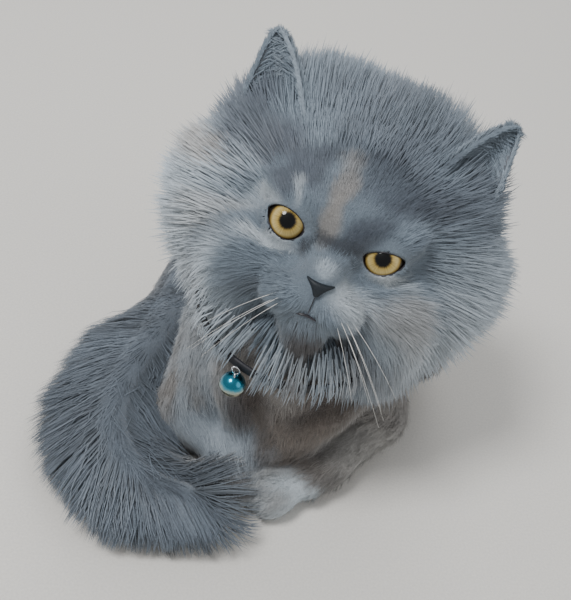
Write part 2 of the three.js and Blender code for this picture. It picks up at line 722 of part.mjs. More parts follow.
// Ears: a curved, tapering sheet with a wall, open towards the front.
function earSheet(s, margin = 0) {
  const rows = 6;
  const columns = 8;
  const axis = EAR_TIP.clone().sub(EAR_ROOT);
  const height = axis.length();
  axis.normalize();
  const front = new THREE.Vector3(0.35, -0.93, 0.1);
  front.addScaledVector(axis, -front.dot(axis)).normalize();
  const across = new THREE.Vector3().crossVectors(axis, front);
  const place = (row, column, offset) => {
    const v = row / rows;
    const taper = Math.pow(Math.max(0, 1 - v), 0.62) * (1 + 0.12 * Math.sin(Math.PI * v));
    const width = EAR_HALF_WIDTH * taper + 1.6;
    const bend = THREE.MathUtils.lerp(1.75, 0.85, v) * (2 * column / columns - 1);
    const reach = width / Math.sin(Math.min(Math.PI / 2, THREE.MathUtils.lerp(1.75, 0.85, v)));
    const p = EAR_ROOT.clone().addScaledVector(axis, height * v);
    p.addScaledVector(across, (reach + offset) * Math.sin(bend));
    p.addScaledVector(front, reach * 0.55 - (reach + offset) * Math.cos(bend) - 5 * v * v);
    return [s * p.x, p.y, p.z];
  };
  const positions = [];
  const half = EAR_WALL / 2 + margin;
  const spread = margin / EAR_HALF_WIDTH;
  for (const offset of [half, -half]) {
    for (let row = 0; row <= rows; row += 1) {
      const beyond = row === rows ? margin / height * rows : 0;
      for (let column = 0; column <= columns; column += 1) {
        const wider = (column / columns - 0.5) * spread * columns;
        positions.push(...place(row + beyond, column + wider, offset));
      }
    }
  }
  const layer = (rows + 1) * (columns + 1);
  const at = (n, row, column) => n * layer + row * (columns + 1) + column;
  const index = [];
  const quad = (a, b, c, d) => index.push(a, b, c, a, c, d);
  for (let row = 0; row < rows; row += 1) {
    for (let c = 0; c < columns; c += 1) {
      quad(at(0, row, c), at(0, row, c + 1), at(0, row + 1, c + 1), at(0, row + 1, c));
      quad(at(1, row, c), at(1, row + 1, c), at(1, row + 1, c + 1), at(1, row, c + 1));
    }
    quad(at(0, row, 0), at(0, row + 1, 0), at(1, row + 1, 0), at(1, row, 0));
    quad(at(0, row, columns), at(1, row, columns), at(1, row + 1, columns), at(0, row + 1, columns));
  }
  for (let c = 0; c < columns; c += 1) {
    quad(at(0, 0, c), at(1, 0, c), at(1, 0, c + 1), at(0, 0, c + 1));
    quad(at(0, rows, c), at(0, rows, c + 1), at(1, rows, c + 1), at(1, rows, c));
  }
  const geometry = new THREE.BufferGeometry();
  geometry.setAttribute('position', new THREE.Float32BufferAttribute(positions, 3));
  if (s > 0) for (let i = 0; i < index.length; i += 3) [index[i], index[i + 1]] = [index[i + 1], index[i]];
  geometry.setIndex(index);
  return placedOnHead(geometry);
}

const ruffCore = new THREE.SphereGeometry(1, 18, 11).rotateX(Math.PI / 2);
ruffCore.scale(...RUFF_CORE_SIZE).translate(...RUFF_CORE_CENTRE);
const face = solidOf(surfaceOf(inHead(skullForm), [-70, -130, 80], [80, 40, 250], FACE_CELL));
const headCore = face.add(placedOnHead(ruffCore));
const aroundHead = grown(headCore);
const earLeft = largestOf(earSheet(side.left).subtract(aroundHead));
const earRight = largestOf(earSheet(side.right).subtract(aroundHead));

const hairyHead = wasm.Manifold.union([headCore, ...ruffLocks().map(placedOnHead)]);
let headSolid = tidiedSolid(largestOf(hairyHead), LOCK_EDGE)
  .subtract(earSheet(side.left, 2 * GAP))
  .subtract(earSheet(side.right, 2 * GAP));
for (const s of [side.left, side.right]) {
  headSolid = headSolid.add(eyeSphere(s, EYE_RADIUS + LID_THICKNESS, 2));
}
headSolid = headSolid.add(noseLeather());
for (const s of [side.left, side.right]) {
  headSolid = headSolid.add(strand(alongMouth(s, 2.4), 1.7, 6));
}
for (const s of [side.left, side.right]) {
  const height = s > 0 ? EYE_OPENING_HEIGHT.left : EYE_OPENING_HEIGHT.right;
  headSolid = headSolid
    .subtract(eyeSphere(s, EYE_RADIUS + GAP, 2))
    .subtract(lidOpening(s, height))
    .subtract(nostril(s))
    .subtract(strand(alongMouth(s, 0), 0.9, 6));
}
headSolid = headSolid.subtract(philtrum());
for (const cutter of [aroundNeck, aroundTorso, aroundForelegLeft, aroundForelegRight]) {
  headSolid = headSolid.subtract(cutter);
}
const eyeLeft = eyeSphere(side.left, EYE_RADIUS, 2);
const eyeRight = eyeSphere(side.right, EYE_RADIUS, 2);

// Collar: a flat band, loose round the root of the neck, mostly under the hair of the throat.
function collarBand(margin = 0) {
  const under = joined(
    6, torsoForm, neckForm, forelegForm(forelegs.left), forelegForm(forelegs.right),
  );
  const stations = 26;
  const forward = new THREE.Vector3(0, -Math.cos(COLLAR_TILT), -Math.sin(COLLAR_TILT));
  const up = new THREE.Vector3(0, -Math.sin(COLLAR_TILT), Math.cos(COLLAR_TILT));
  const positions = [];
  const edge = (out, rise) => {
    const start = COLLAR_CENTRE.clone().addScaledVector(up, rise * (COLLAR_HEIGHT / 2 + margin));
    let reach = 20;
    for (let step = 0; step < 60; step += 1) {
      const p = start.clone().addScaledVector(out, reach);
      reach -= (under(p.x, p.y, p.z) - COLLAR_CLEARANCE) * 0.7;
    }
    return [start, Math.max(reach, COLLAR_RADIUS)];
  };
  for (let i = 0; i < stations; i += 1) {
    const angle = (2 * Math.PI * i) / stations;
    const out = forward.clone().multiplyScalar(Math.cos(angle));
    out.x += Math.sin(angle);
    const [low, lowReach] = edge(out, -1);
    const [high, highReach] = edge(out, 1);
    for (const [start, reach] of [
      [low, lowReach - margin],
      [low, lowReach + COLLAR_WALL + margin],
      [high, highReach + COLLAR_WALL + margin],
      [high, highReach - margin],
    ]) {
      positions.push(...start.clone().addScaledVector(out, reach));
    }
  }
  const index = [];
  for (let i = 0; i < stations; i += 1) {
    for (let c = 0; c < 4; c += 1) {
      const a = 4 * i + c;
      const b = 4 * i + ((c + 1) % 4);
      const d = 4 * ((i + 1) % stations) + c;
      const e = 4 * ((i + 1) % stations) + ((c + 1) % 4);
      index.push(a, d, e, a, e, b);
    }
  }
  const geometry = new THREE.BufferGeometry();
  geometry.setAttribute('position', new THREE.Float32BufferAttribute(positions, 3));
  geometry.setIndex(index);
  return solidOf(geometry);
}

const aroundCollar = collarBand(0.5);
const collar = [aroundForelegLeft, aroundForelegRight, aroundTorso, aroundNeck].reduce(
  (rest, cutter) => rest.subtract(cutter), collarBand(),
);

// Tail: one form along its course, lying on the floor, then parted into three lengths.
const tailCurve = new THREE.CatmullRomCurve3(TAIL_COURSE.map((p) => new THREE.Vector3(...p)));

function tailRadius(t) {
  const { root, middle, tip } = TAIL_CORE_RADIUS;
  return t < 0.5 ? root + (middle - root) * t * 2 : middle + (tip - middle) * (t - 0.5) * 2;
}

function tailPieces() {
  const stations = 26;
  const places = tailCurve.getSpacedPoints(stations);
  return places.slice(1).map((b, i) => {
    const a = places[i];
    return limb([a.x, a.y, a.z], [b.x, b.y, b.z], tailRadius(i / stations), tailRadius((i + 1) / stations));
  });
}

const tailForm = (() => {
  const pieces = tailPieces();
  return (x, y, z) => pieces.reduce((d, piece) => Math.min(d, piece(x, y, z)), 1e3);
})();

function tailLocks() {
  const total = tailCurve.getLength();
  const count = Math.floor(total / TAIL_LOCK_STEP);
  const up = new THREE.Vector3(0, 0, 1);
  const locks = [];
  TAIL_ROWS.forEach(({ around, reach, along }, row) => {
    for (let i = 1; i <= count; i += 1) {
      const t = Math.min(1, (i - (row % 2) / 2 + 0.3 * (draw() - 0.5)) / count);
      const centre = tailCurve.getPointAt(t);
      const forward = tailCurve.getTangentAt(t);
      const outer = new THREE.Vector3().crossVectors(forward, up).normalize();
      const angle = THREE.MathUtils.degToRad(around + 8 * (draw() - 0.5));
      const out = outer.multiplyScalar(Math.cos(angle)).addScaledVector(up, Math.sin(angle));
      const root = centre.clone().addScaledVector(out, tailRadius(t) - 0.5);
      const { smoothstep } = THREE.MathUtils;
      const full = TAIL_SHARE_AT_RUMP + (1 - TAIL_SHARE_AT_RUMP) * smoothstep(t, 0.38, 0.56);
      const share = full - (1 - TAIL_SHARE_AT_TIP) * smoothstep(t, 0.72, 0.9);
      const sweep = along + (t > 0.9 ? 0.5 : 0);
      const lie = out.clone().addScaledVector(forward, sweep).normalize();
      const length = vary(reach, 0.1) * share;
      const lowest = TAIL_TIP_HEIGHT * (1 + 1.4 * draw());
      lie.z = Math.max(lie.z * 0.35, 0) + (lowest - root.z) / length;
      lie.normalize();
      locks.push(lockOf({
        root, out, lie, length, rise: 6, width: vary(TAIL_LOCK_WIDTH, 0.15),
        flat: up.clone().multiplyScalar(1.2).add(out),
      }));
    }
  });
  return locks;
}

const tailCore = solidOf(surfaceOf(tailForm, [-170, -170, -30], [60, 190, 100], TAIL_CELL));
const hairyTail = wasm.Manifold.union([tailCore, ...tailLocks().map(solidOf)]);
const tailWhole = tidiedSolid(largestOf(hairyTail), LOCK_EDGE);
const tailClear = fitted(
  tailWhole, aroundTorso, aroundHindlegRight, aroundForelegRight, aroundForelegLeft,
);

function cutAcross(solid, [x, y], [nx, ny]) {
  const run = Math.hypot(nx, ny);
  const normal = [nx / run, ny / run, 0];
  const offset = normal[0] * x + normal[1] * y;
  const front = solid.trimByPlane(normal, offset + GAP / 2);
  const back = solid.trimByPlane(normal.map((n) => -n), -(offset - GAP / 2));
  return [front, back];
}

const [tailFront, tailBase] = cutAcross(tailClear, [-64, 46], [-0.3, -0.95]);
const [tailTip, tailMiddle] = cutAcross(tailFront, [-100, -58], [0.05, -1]);
const tailSolids = [tailBase, tailMiddle, tailTip].map(largestOf);

// Bell and its ring, in front of the chest.
function bellBody() {
  const sphere = new THREE.SphereGeometry(BELL_RADIUS, 16, 10).rotateX(Math.PI / 2);
  const ball = solidOf(sphere.translate(...BELL_CENTRE));
  const slot = solidOf(new THREE.BoxGeometry(1.4, 30, 5).translate(
    BELL_CENTRE.x, BELL_CENTRE.y, BELL_CENTRE.z - BELL_RADIUS + 1,
  ));
  return ball.subtract(slot);
}

const bell = bellBody();
const ringCentre = BELL_CENTRE.clone().add(new THREE.Vector3(0.4, 1.2, BELL_RADIUS + 2));
const bellRing = solidOf(new THREE.TorusGeometry(2.4, 0.5, 6, 14).rotateY(0.5).translate(...ringCentre))
  .subtract(grown(bell))
  .subtract(aroundCollar);
headSolid = headSolid.subtract(aroundCollar).subtract(grown(bell, 0.6)).subtract(grown(bellRing, 0.6));
const head = largestOf(headSolid);

// The animal, piece by piece, set with the middle of its footprint at the origin.
const cat = new THREE.Group();

function addPiece(name, solid, colour, roughness, metalness = 0) {
  const material = new THREE.MeshStandardMaterial({ color: colour, roughness, metalness });
  const piece = new THREE.Mesh(tidied(geometryOf(solid), LEAST_EDGE), material);
  piece.name = name;
  cat.add(piece);
}

addPiece('torso', torso, CLIPPED, 0.9);
addPiece('neck', neck, SLATE, 0.9);
addPiece('head', head, SLATE, 0.9);
addPiece('ear_left', earLeft, DARK_SLATE, 0.85);
addPiece('ear_right', earRight, DARK_SLATE, 0.85);
addPiece('eye_left', eyeLeft, AMBER, 0.1);
addPiece('eye_right', eyeRight, AMBER, 0.1);
addPiece('foreleg_left', forelegLeft, CLIPPED, 0.9);
addPiece('foreleg_right', forelegRight, CLIPPED, 0.9);
addPiece('hindleg_left', hindlegLeft, CLIPPED, 0.9);
addPiece('hindleg_right', hindlegRight, CLIPPED, 0.9);
['tail_base', 'tail_middle', 'tail_tip'].forEach((name, i) => {
  addPiece(name, tailSolids[i], DARK_SLATE, 0.9);
});
addPiece('collar', largestOf(collar), COLLAR_DARK, 0.7);
addPiece('bell', bell, BELL_TEAL, 0.3, 0.8);
addPiece('bell_ring', bellRing, RING_SILVER, 0.3, 0.9);

const extent = new THREE.Box3().setFromObject(cat);
const middle = extent.getCenter(new THREE.Vector3());
cat.position.set(-middle.x, -middle.y, -extent.min.z);

export default cat;
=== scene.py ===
"""A life-size still model of a longhaired cat at rest in a low crouch, dressed over its CAD solids.

Lengths are millimetres in the cat's own frame until a mesh is made, which is in metres in the frame
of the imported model. The cat faces -Y and its left side is +X.
"""
import logging
import math
from dataclasses import dataclass
from enum import Enum
from typing import Callable, Sequence

import bpy
import numpy as np
from mathutils import Matrix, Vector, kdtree


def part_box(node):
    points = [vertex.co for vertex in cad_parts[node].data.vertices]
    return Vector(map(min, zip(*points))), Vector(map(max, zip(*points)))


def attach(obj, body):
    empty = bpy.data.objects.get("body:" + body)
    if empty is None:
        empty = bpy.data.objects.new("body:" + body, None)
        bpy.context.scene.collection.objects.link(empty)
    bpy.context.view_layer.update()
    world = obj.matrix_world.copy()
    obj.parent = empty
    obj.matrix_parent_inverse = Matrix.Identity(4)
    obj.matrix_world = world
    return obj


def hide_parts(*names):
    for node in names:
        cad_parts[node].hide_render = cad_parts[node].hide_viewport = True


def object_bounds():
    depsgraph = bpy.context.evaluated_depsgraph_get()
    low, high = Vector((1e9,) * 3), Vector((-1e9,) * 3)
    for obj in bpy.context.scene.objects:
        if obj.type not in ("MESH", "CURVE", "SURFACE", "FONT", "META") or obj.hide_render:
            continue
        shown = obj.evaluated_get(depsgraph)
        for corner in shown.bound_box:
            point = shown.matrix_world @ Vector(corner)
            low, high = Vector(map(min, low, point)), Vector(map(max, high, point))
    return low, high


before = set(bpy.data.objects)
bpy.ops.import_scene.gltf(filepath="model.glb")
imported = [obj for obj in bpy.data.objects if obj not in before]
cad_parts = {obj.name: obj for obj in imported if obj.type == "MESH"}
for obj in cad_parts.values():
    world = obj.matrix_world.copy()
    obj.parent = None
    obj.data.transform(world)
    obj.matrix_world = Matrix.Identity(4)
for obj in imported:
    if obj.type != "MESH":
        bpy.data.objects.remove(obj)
CAD_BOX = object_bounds()

log = logging.getLogger("cat")

Field = Callable[[np.ndarray], np.ndarray]

# Head: where it is, how it turns, and its main sizes.
EYE_MIDPOINT = np.array([0.0, -62.0, 180.0])
HEAD_YAW = math.radians(-12)
HEAD_PITCH = math.radians(-30)
HEAD_ROLL = math.radians(8)
EYE_SPACING = 51.0
EYE_RADIUS = 11.5
EYE_HEIGHT = 4.0
EYE_DEPTH = -31.0
EYE_FACE_DEPTH = -36.0
LID_THICKNESS = 1.6
EYE_OPENING_HALF = 10.2
EYE_OPENING_MIDDLE = 0.7
EYE_SLANT = 0.2
NOSE_CENTRE = np.array([0.0, -57.0, -17.2])
NOSE_HALF_WIDTH = 8.8
NOSE_TOP = 3.6
NOSE_BOTTOM = -4.6
NOSE_DIP = 0.8
MOUTH_DROP = -32.0
MOUTH_HALF_WIDTH = 14.0
RUFF_CENTRE = np.array([0.0, 14.0, 4.0])
RUFF_SIZE = np.array([72.0, 48.0, 58.0])

# Tail: its course along the right side and its radius under the hair.
TAIL_COURSE = np.array([
    (6, 138, 42), (-20, 130, 31), (-46, 100, 26), (-58, 66, 24), (-68, 34, 24), (-82, 2, 24),
    (-96, -32, 24), (-101, -62, 24), (-93, -88, 24), (-77, -103, 22), (-57, -109, 20),
], float)
TAIL_RADII = (19.0, 17.0, 11.0)

# Collar and bell.
COLLAR_CENTRE = np.array([-5.0, -43.0, 127.0])
COLLAR_TILT = math.radians(17)
COLLAR_RADIUS = 56.0
COLLAR_WALL = 2.2
COLLAR_HEIGHT = 7.0
COLLAR_CLEARANCE = 1.8
BELL_CENTRE = np.array([-39.9, -92.0, 103.0])
BELL_RADIUS = 7.2

# How deep the coat is over the skin of the clipped body and of the face.
BODY_COAT_DEPTH = 2.2
FACE_COAT_DEPTH = 1.4

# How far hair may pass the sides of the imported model, and the lowest place of any hair.
BOX_MARGIN = 2.5
FLOOR_GAP = 0.5

# Hair: where the last ring of a strand is, and how wide a strand's patch on the map is.
SHOULDER = 0.8
PATCH_WIDTH = 0.003

# Camera.
CAMERA_PLACE = np.array([-86.0, -386.0, 436.0])
CAMERA_AZIMUTH = math.radians(-12)
CAMERA_ELEVATION = math.radians(42)
CAMERA_ROLL = math.radians(14)
CAMERA_LENS = 51.6


class Side(Enum):
    """The two sides of the cat, with the sign of X on each."""

    LEFT = 1
    RIGHT = -1


class Coat(Enum):
    """The parts of the coat that are made in their own way."""

    FACE = "face"
    RUFF = "ruff"
    TAIL = "tail"
    BODY = "body"


def unit(v: np.ndarray) -> np.ndarray:
    """Returns the vectors of an array at a length of one."""
    return v / np.maximum(np.linalg.norm(v, axis=-1, keepdims=True), 1e-9)


def ramp(x: np.ndarray, low: float, high: float) -> np.ndarray:
    """Returns a smooth step from 0 at low to 1 at high."""
    t = np.clip((x - low) / (high - low), 0, 1)
    return t * t * (3 - 2 * t)


def linear(hex_colour: str) -> np.ndarray:
    """Turns an sRGB hex value to linear red, green and blue."""
    s = np.array([int(hex_colour[i:i + 2], 16) for i in (1, 3, 5)]) / 255
    return np.where(s <= 0.04045, s / 12.92, ((s + 0.055) / 1.055) ** 2.4)


# Forms as distances from their surface, negative inside.


def ellipsoid(centre: Sequence[float], size: Sequence[float], turn: float = 0.0) -> Field:
    """Makes the field of an ellipsoid, turned about Z.

    Args:
        centre: Its middle.
        size: Its three half lengths.
        turn: Angle about Z in radians.

    Returns:
        The field.
    """
    c, r = np.array(centre, float), np.array(size, float)
    cos, sin = math.cos(turn), math.sin(turn)

    def field(p: np.ndarray) -> np.ndarray:
        """Returns the distance outside the ellipsoid.

        Args:
            p: Places.

        Returns:
            The distances, negative inside.
        """
        d = p - c
        if turn:
            d = np.stack([cos * d[:, 0] + sin * d[:, 1], cos * d[:, 1] - sin * d[:, 0], d[:, 2]], 1)
        u = d / r
        k0 = np.sqrt((u * u).sum(1))
        w = u / r
        return k0 * (k0 - 1) / np.maximum(np.sqrt((w * w).sum(1)), 1e-9)

    return field


def limb(a: Sequence[float], b: Sequence[float], ra: float, rb: float) -> Field:
    """Makes the field of a tapering round bar from a to b.

    Args:
        a: Where it starts.
        b: Where it ends.
        ra: Radius at a.
        rb: Radius at b.

    Returns:
        The field.
    """
    start = np.array(a, float)
    run = np.array(b, float) - start
    span = run @ run

    def field(p: np.ndarray) -> np.ndarray:
        """Returns the distance outside the bar.

        Args:
            p: Places.

        Returns:
            The distances, negative inside.
        """
        d = p - start
        t = np.clip(d @ run / span, 0, 1)
        d = d - t[:, None] * run
        return np.sqrt((d * d).sum(1)) - (ra + (rb - ra) * t)

    return field


def soften(a: np.ndarray, b: np.ndarray, k: float) -> np.ndarray:
    """Joins two distances with a fillet of size k."""
    h = np.maximum(k - np.abs(a - b), 0) / k
    return np.minimum(a, b) - h * h * k * 0.25


def joined(k: float, *forms: Field) -> Field:
    """Joins forms with fillets of size k.

    Args:
        k: Size of the fillets.
        forms: The forms.

    Returns:
        The field.
    """

    def field(p: np.ndarray) -> np.ndarray:
        """Returns the distance outside the joined forms.

        Args:
            p: Places.

        Returns:
            The distances, negative inside.
        """
        d = forms[0](p)
        for form in forms[1:]:
            d = soften(d, form(p), k)
        return d

    return field


def hollowed(k: float, form: Field, *hollows: Field) -> Field:
    """Cuts hollows from a form with fillets of size k.

    Args:
        k: Size of the fillets.
        form: The form.
        hollows: What is cut from it.

    Returns:
        The field.
    """

    def field(p: np.ndarray) -> np.ndarray:
        """Returns the distance outside what is left.

        Args:
            p: Places.

        Returns:
            The distances, negative inside.
        """
        d = form(p)
        for hollow in hollows:
            d = -soften(-d, hollow(p), k)
        return d

    return field


def both(make: Callable[[int], Field]) -> list[Field]:
    """Makes a form for each side."""
    return [make(side.value) for side in Side]


def slope(field: Field, p: np.ndarray, step: float = 0.4) -> np.ndarray:
    """Returns the outward direction of a field at points."""
    e = np.eye(3) * step
    return unit(np.stack([field(p + e[i]) - field(p - e[i]) for i in range(3)], 1))


@dataclass(frozen=True)
class HeadFrame:
    """The head's own frame: its middle is the origin, -Y is forward and +Z is the crown."""

    turn: np.ndarray
    origin: np.ndarray

    @classmethod
    def placed(cls) -> "HeadFrame":
        """Returns the frame of the head as it is held.

        Returns:
            The frame.
        """
        turn = np.array(
            Matrix.Rotation(HEAD_YAW, 3, "Z")
            @ Matrix.Rotation(HEAD_PITCH, 3, "X")
            @ Matrix.Rotation(HEAD_ROLL, 3, "Y")
        )
        return cls(turn, EYE_MIDPOINT - turn @ np.array([0.0, EYE_FACE_DEPTH, EYE_HEIGHT]))

    def out(self, p: np.ndarray) -> np.ndarray:
        """Takes points from the head's frame to the cat's."""
        return p @ self.turn.T + self.origin

    def into(self, p: np.ndarray) -> np.ndarray:
        """Takes points from the cat's frame to the head's."""
        return (p - self.origin) @ self.turn

    def aim_out(self, v: np.ndarray) -> np.ndarray:
        """Takes directions from the head's frame to the cat's."""
        return v @ self.turn.T

    def aim_into(self, v: np.ndarray) -> np.ndarray:
        """Takes directions from the cat's frame to the head's."""
        return v @ self.turn


HEAD = HeadFrame.placed()
EYE_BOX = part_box("eye_left")
EYE_LEFT_PLACE = HEAD.out(np.array([EYE_SPACING / 2, EYE_DEPTH, EYE_HEIGHT]))
SHIFT = np.array((EYE_BOX[0] + EYE_BOX[1]) / 2) * 1000 - EYE_LEFT_PLACE
SHIFT[2] = 0.0


@dataclass(frozen=True)
class Foreleg:
    """One foreleg: joints, and the paw with its heading."""

    shoulder: Sequence[float]
    elbow: Sequence[float]
    wrist: Sequence[float]
    palm: Sequence[float]
    paw: Sequence[float]
    heading: float

    def field(self) -> Field:
        """Returns the form of the leg, with four toes at the end of the paw.

        Returns:
            The field.
        """
        forearm = joined(
            10, limb(self.shoulder, self.elbow, 27, 21), limb(self.elbow, self.wrist, 20, 15)
        )
        paw = ellipsoid(self.paw, (17.5, 15.5, 12.5), self.heading)
        return joined(
            8, joined(8, forearm, limb(self.wrist, self.palm, 15, 14.5), paw),
            *toes(self.paw, self.heading, 8.4, 3.5),
        )


@dataclass(frozen=True)
class Hindleg:
    """One hind leg: thigh, knee, hock and the foot flat on the floor."""

    thigh: Sequence[float]
    thigh_size: Sequence[float]
    knee: Sequence[float]
    hock: Sequence[float]
    foot: Sequence[float]
    toe: Sequence[float]
    knee_radius: float

    def field(self) -> Field:
        """Returns the form of the leg, with four toes.

        Returns:
            The field.
        """
        kx, ky, kz = self.knee
        thigh = joined(
            16, ellipsoid(self.thigh, self.thigh_size),
            limb(self.knee, (kx, ky + 6, kz - 6), self.knee_radius, self.knee_radius),
        )
        return joined(
            9, thigh, limb((kx * 0.95, ky + 2, kz - 12), self.hock, 16, 12),
            limb(self.hock, self.foot, 13, 13), ellipsoid(self.toe, (14, 18, 11.5)),
            joined(2, *toes(self.toe, math.radians(-90), 11.0, 3.4)),
        )


def toes(paw: Sequence[float], heading: float, reach: float, spread: float) -> list[Field]:
    """Makes the four toes of a paw.

    Args:
        paw: Middle of the paw.
        heading: Which way it points, about Z.
        reach: How far ahead of the middle the toes are.
        spread: Half the space between two toes.

    Returns:
        A field for each toe.
    """
    ahead = np.array([math.cos(heading), math.sin(heading), 0])
    across = np.array([-ahead[1], ahead[0], 0])
    made = []
    for k in (-3, -1, 1, 3):
        middle = np.array(paw) + ahead * (reach - 0.35 * abs(k)) + across * k * spread
        middle[2] -= 1.5
        made.append(ellipsoid(middle, (9.0, 4.4, 8.6), heading))
    return made


FORELEGS = {
    Side.LEFT: Foreleg(
        (42, -34, 88), (62, -40, 26), (31, -73, 17), (18, -84, 15), (-1, -93, 13), math.radians(205)
    ),
    Side.RIGHT: Foreleg(
        (-42, -36, 88), (-56, -46, 26), (-30, -72, 18), (-31, -82, 15), (-32, -90, 12.5),
        math.radians(265),
    ),
}
HINDLEGS = {
    Side.LEFT: Hindleg(
        (86, 44, 54), (32, 56, 44), (94, 8, 43), (68, 100, 17), (74, 16, 13), (77, -8, 12.5), 21
    ),
    Side.RIGHT: Hindleg(
        (-18, 54, 54), (28, 54, 44), (-35, 12, 42), (-14, 102, 17), (-36, 22, 13), (-43, -2, 12.5), 19
    ),
}


def spline(points: np.ndarray, count: int) -> np.ndarray:
    """Returns evenly spaced places on a smooth curve through points.

    Args:
        points: What the curve goes through.
        count: How many places.

    Returns:
        The places.
    """
    ends = np.vstack([2 * points[0] - points[1], points, 2 * points[-1] - points[-2]])
    fine = []
    for i in range(len(points) - 1):
        p0, p1, p2, p3 = ends[i:i + 4]
        t = np.linspace(0, 1, 24, endpoint=False)[:, None]
        fine.append(0.5 * (
            2 * p1 + (p2 - p0) * t + (2 * p0 - 5 * p1 + 4 * p2 - p3) * t ** 2
            + (3 * p1 - p0 - 3 * p2 + p3) * t ** 3
        ))
    fine = np.vstack([*fine, points[-1:]])
    run = np.concatenate([[0], np.cumsum(np.linalg.norm(np.diff(fine, axis=0), axis=1))])
    want = np.linspace(0, run[-1], count)
    return np.stack([np.interp(want, run, fine[:, a]) for a in range(3)], 1)


TAIL_LINE = spline(TAIL_COURSE, 61)


def tail_radius(t: np.ndarray) -> np.ndarray:
    """Returns the radius of the tail under its hair, for shares of its length."""
    return np.interp(t, (0, 0.5, 1), TAIL_RADII)


class Anatomy:
    """The fields of the cat's parts, and its skin as one of them."""

    def __init__(self) -> None:
        """Makes the fields from the named sizes."""
        forechest = ellipsoid((0, -38, 80), (50, 50, 54))
        barrel = ellipsoid((14, 22, 64), (58, 62, 66))
        rump = ellipsoid((30, 80, 66), (60, 60, 60))
        breast = ellipsoid((-7, -60, 52), (26, 20, 32))
        withers = ellipsoid((-2, -50, 92), (45, 38, 34))
        between_arms = limb((-14, -64, 22), (6, -60, 22), 13, 13)
        torso = joined(34, forechest, barrel, rump, breast, withers, between_arms)
        neck = limb((2, -18, 104), (4, -28, 146), 42, 37)
        legs = [leg.field() for leg in (*FORELEGS.values(), *HINDLEGS.values())]
        right_furrow = limb((-31, -88, 86), (-27, -89, 44), 10, 12)
        left_crease = limb((28, -91, 110), (2, -103, 71), 9, 9.5)
        clipped = joined(6, joined(12, torso, neck), *legs)
        self.body = hollowed(11, clipped, right_furrow, left_crease)
        line = TAIL_LINE[::3]
        radii = tail_radius(np.linspace(0, 1, len(line)))
        self.tail = joined(1, *[
            limb(line[i], line[i + 1], radii[i], radii[i + 1]) for i in range(len(line) - 1)
        ])
        self.skull = self._skull()
        self.ruff = ellipsoid(RUFF_CENTRE, RUFF_SIZE)
        self.mouth = self._mouth_lines()

    @staticmethod
    def _skull() -> Field:
        """Returns the skull, cheeks, brows, muzzle and chin, in the head's frame.

        Returns:
            The field.
        """
        braincase = ellipsoid((0, 2, 6), (47, 48, 43))
        cheeks = both(lambda s: ellipsoid((30 * s, -12, -18), (26, 30, 25)))
        brows = both(lambda s: ellipsoid((25 * s, -26, 13), (17, 16, 12)))
        pads = both(lambda s: ellipsoid((10 * s, -45, -25.5), (14, 13, 11)))
        bridge = ellipsoid((0, -38, -12), (12, 20, 12))
        chin = ellipsoid((0, -37, -35), (14, 13, 10))
        sockets = both(lambda s: ellipsoid((EYE_SPACING / 2 * s, -51, EYE_HEIGHT), (13, 11, 10)))
        return hollowed(5, joined(9, braincase, *cheeks, *brows, *pads, bridge, chin), *sockets)

    def face_depth(self, x: np.ndarray, z: np.ndarray) -> np.ndarray:
        """Returns how far forward the face reaches at places across and up.

        Args:
            x: Places across.
            z: Places up.

        Returns:
            The places along Y.
        """
        y = np.full(len(x), -90.0)
        for _ in range(60):
            y += np.maximum(self.skull(np.stack([x, y, z], 1)) * 0.8, 0.02)
        return y

    def _mouth_lines(self) -> list[np.ndarray]:
        """Returns the lines of the mouth and the groove under the nose, in the head's frame.

        Returns:
            The lines, each as places.
        """
        lines = []
        for s in (-1, 1):
            t = np.linspace(0, 1, 9)
            x = MOUTH_HALF_WIDTH * t * s
            z = MOUTH_DROP - 4.5 * t ** 1.5
            lines.append(np.stack([x, self.face_depth(x, z), z], 1))
        z = np.linspace(NOSE_CENTRE[2] - 5, MOUTH_DROP, 5)
        x = np.zeros(5)
        lines.append(np.stack([x, self.face_depth(x, z), z], 1))
        return lines

    def from_mouth(self, q: np.ndarray) -> np.ndarray:
        """Returns the distance from the lines of the mouth, for points in the head's frame.

        Args:
            q: Places in the head's frame.

        Returns:
            The distances.
        """
        d = np.full(len(q), 30.0)
        near = (np.abs(q[:, 0]) < 24) & (q[:, 1] < -20) & (q[:, 2] < -18) & (q[:, 2] > -45)
        if near.any():
            close = q[near]
            best = np.full(len(close), 30.0)
            for line in self.mouth:
                for a, b in zip(line[:-1], line[1:]):
                    best = np.minimum(best, limb(a, b, 0, 0)(close))
            d[near] = best
        return d

    def head(self, p: np.ndarray) -> np.ndarray:
        """Returns the field of the head's skin, with lids and the line of the mouth.

        Args:
            p: Places in the cat's frame.

        Returns:
            The distances, negative inside.
        """
        q = HEAD.into(p)
        d = soften(self.skull(q) + FACE_COAT_DEPTH, self.ruff(q), 6)
        for side in Side:
            d = soften(d, Eye(side).brow(q), 7)
            d = soften(d, Eye(side).lid(q), 2.5)
        groove = self.from_mouth(q)
        d = d + 1.2 * np.exp(-(groove / 1.2) ** 2)
        for side in Side:
            eye = Eye(side)
            d = np.maximum(d, -eye.ball(q, EYE_RADIUS + 0.25))
            d = np.maximum(d, -eye.opening(q))
        return d

    def skin(self, p: np.ndarray) -> np.ndarray:
        """Returns the field of the whole skin."""
        d = soften(self.body(p) + BODY_COAT_DEPTH, self.tail(p), 6)
        return np.maximum(soften(d, self.head(p), 5), 0.4 - p[:, 2])


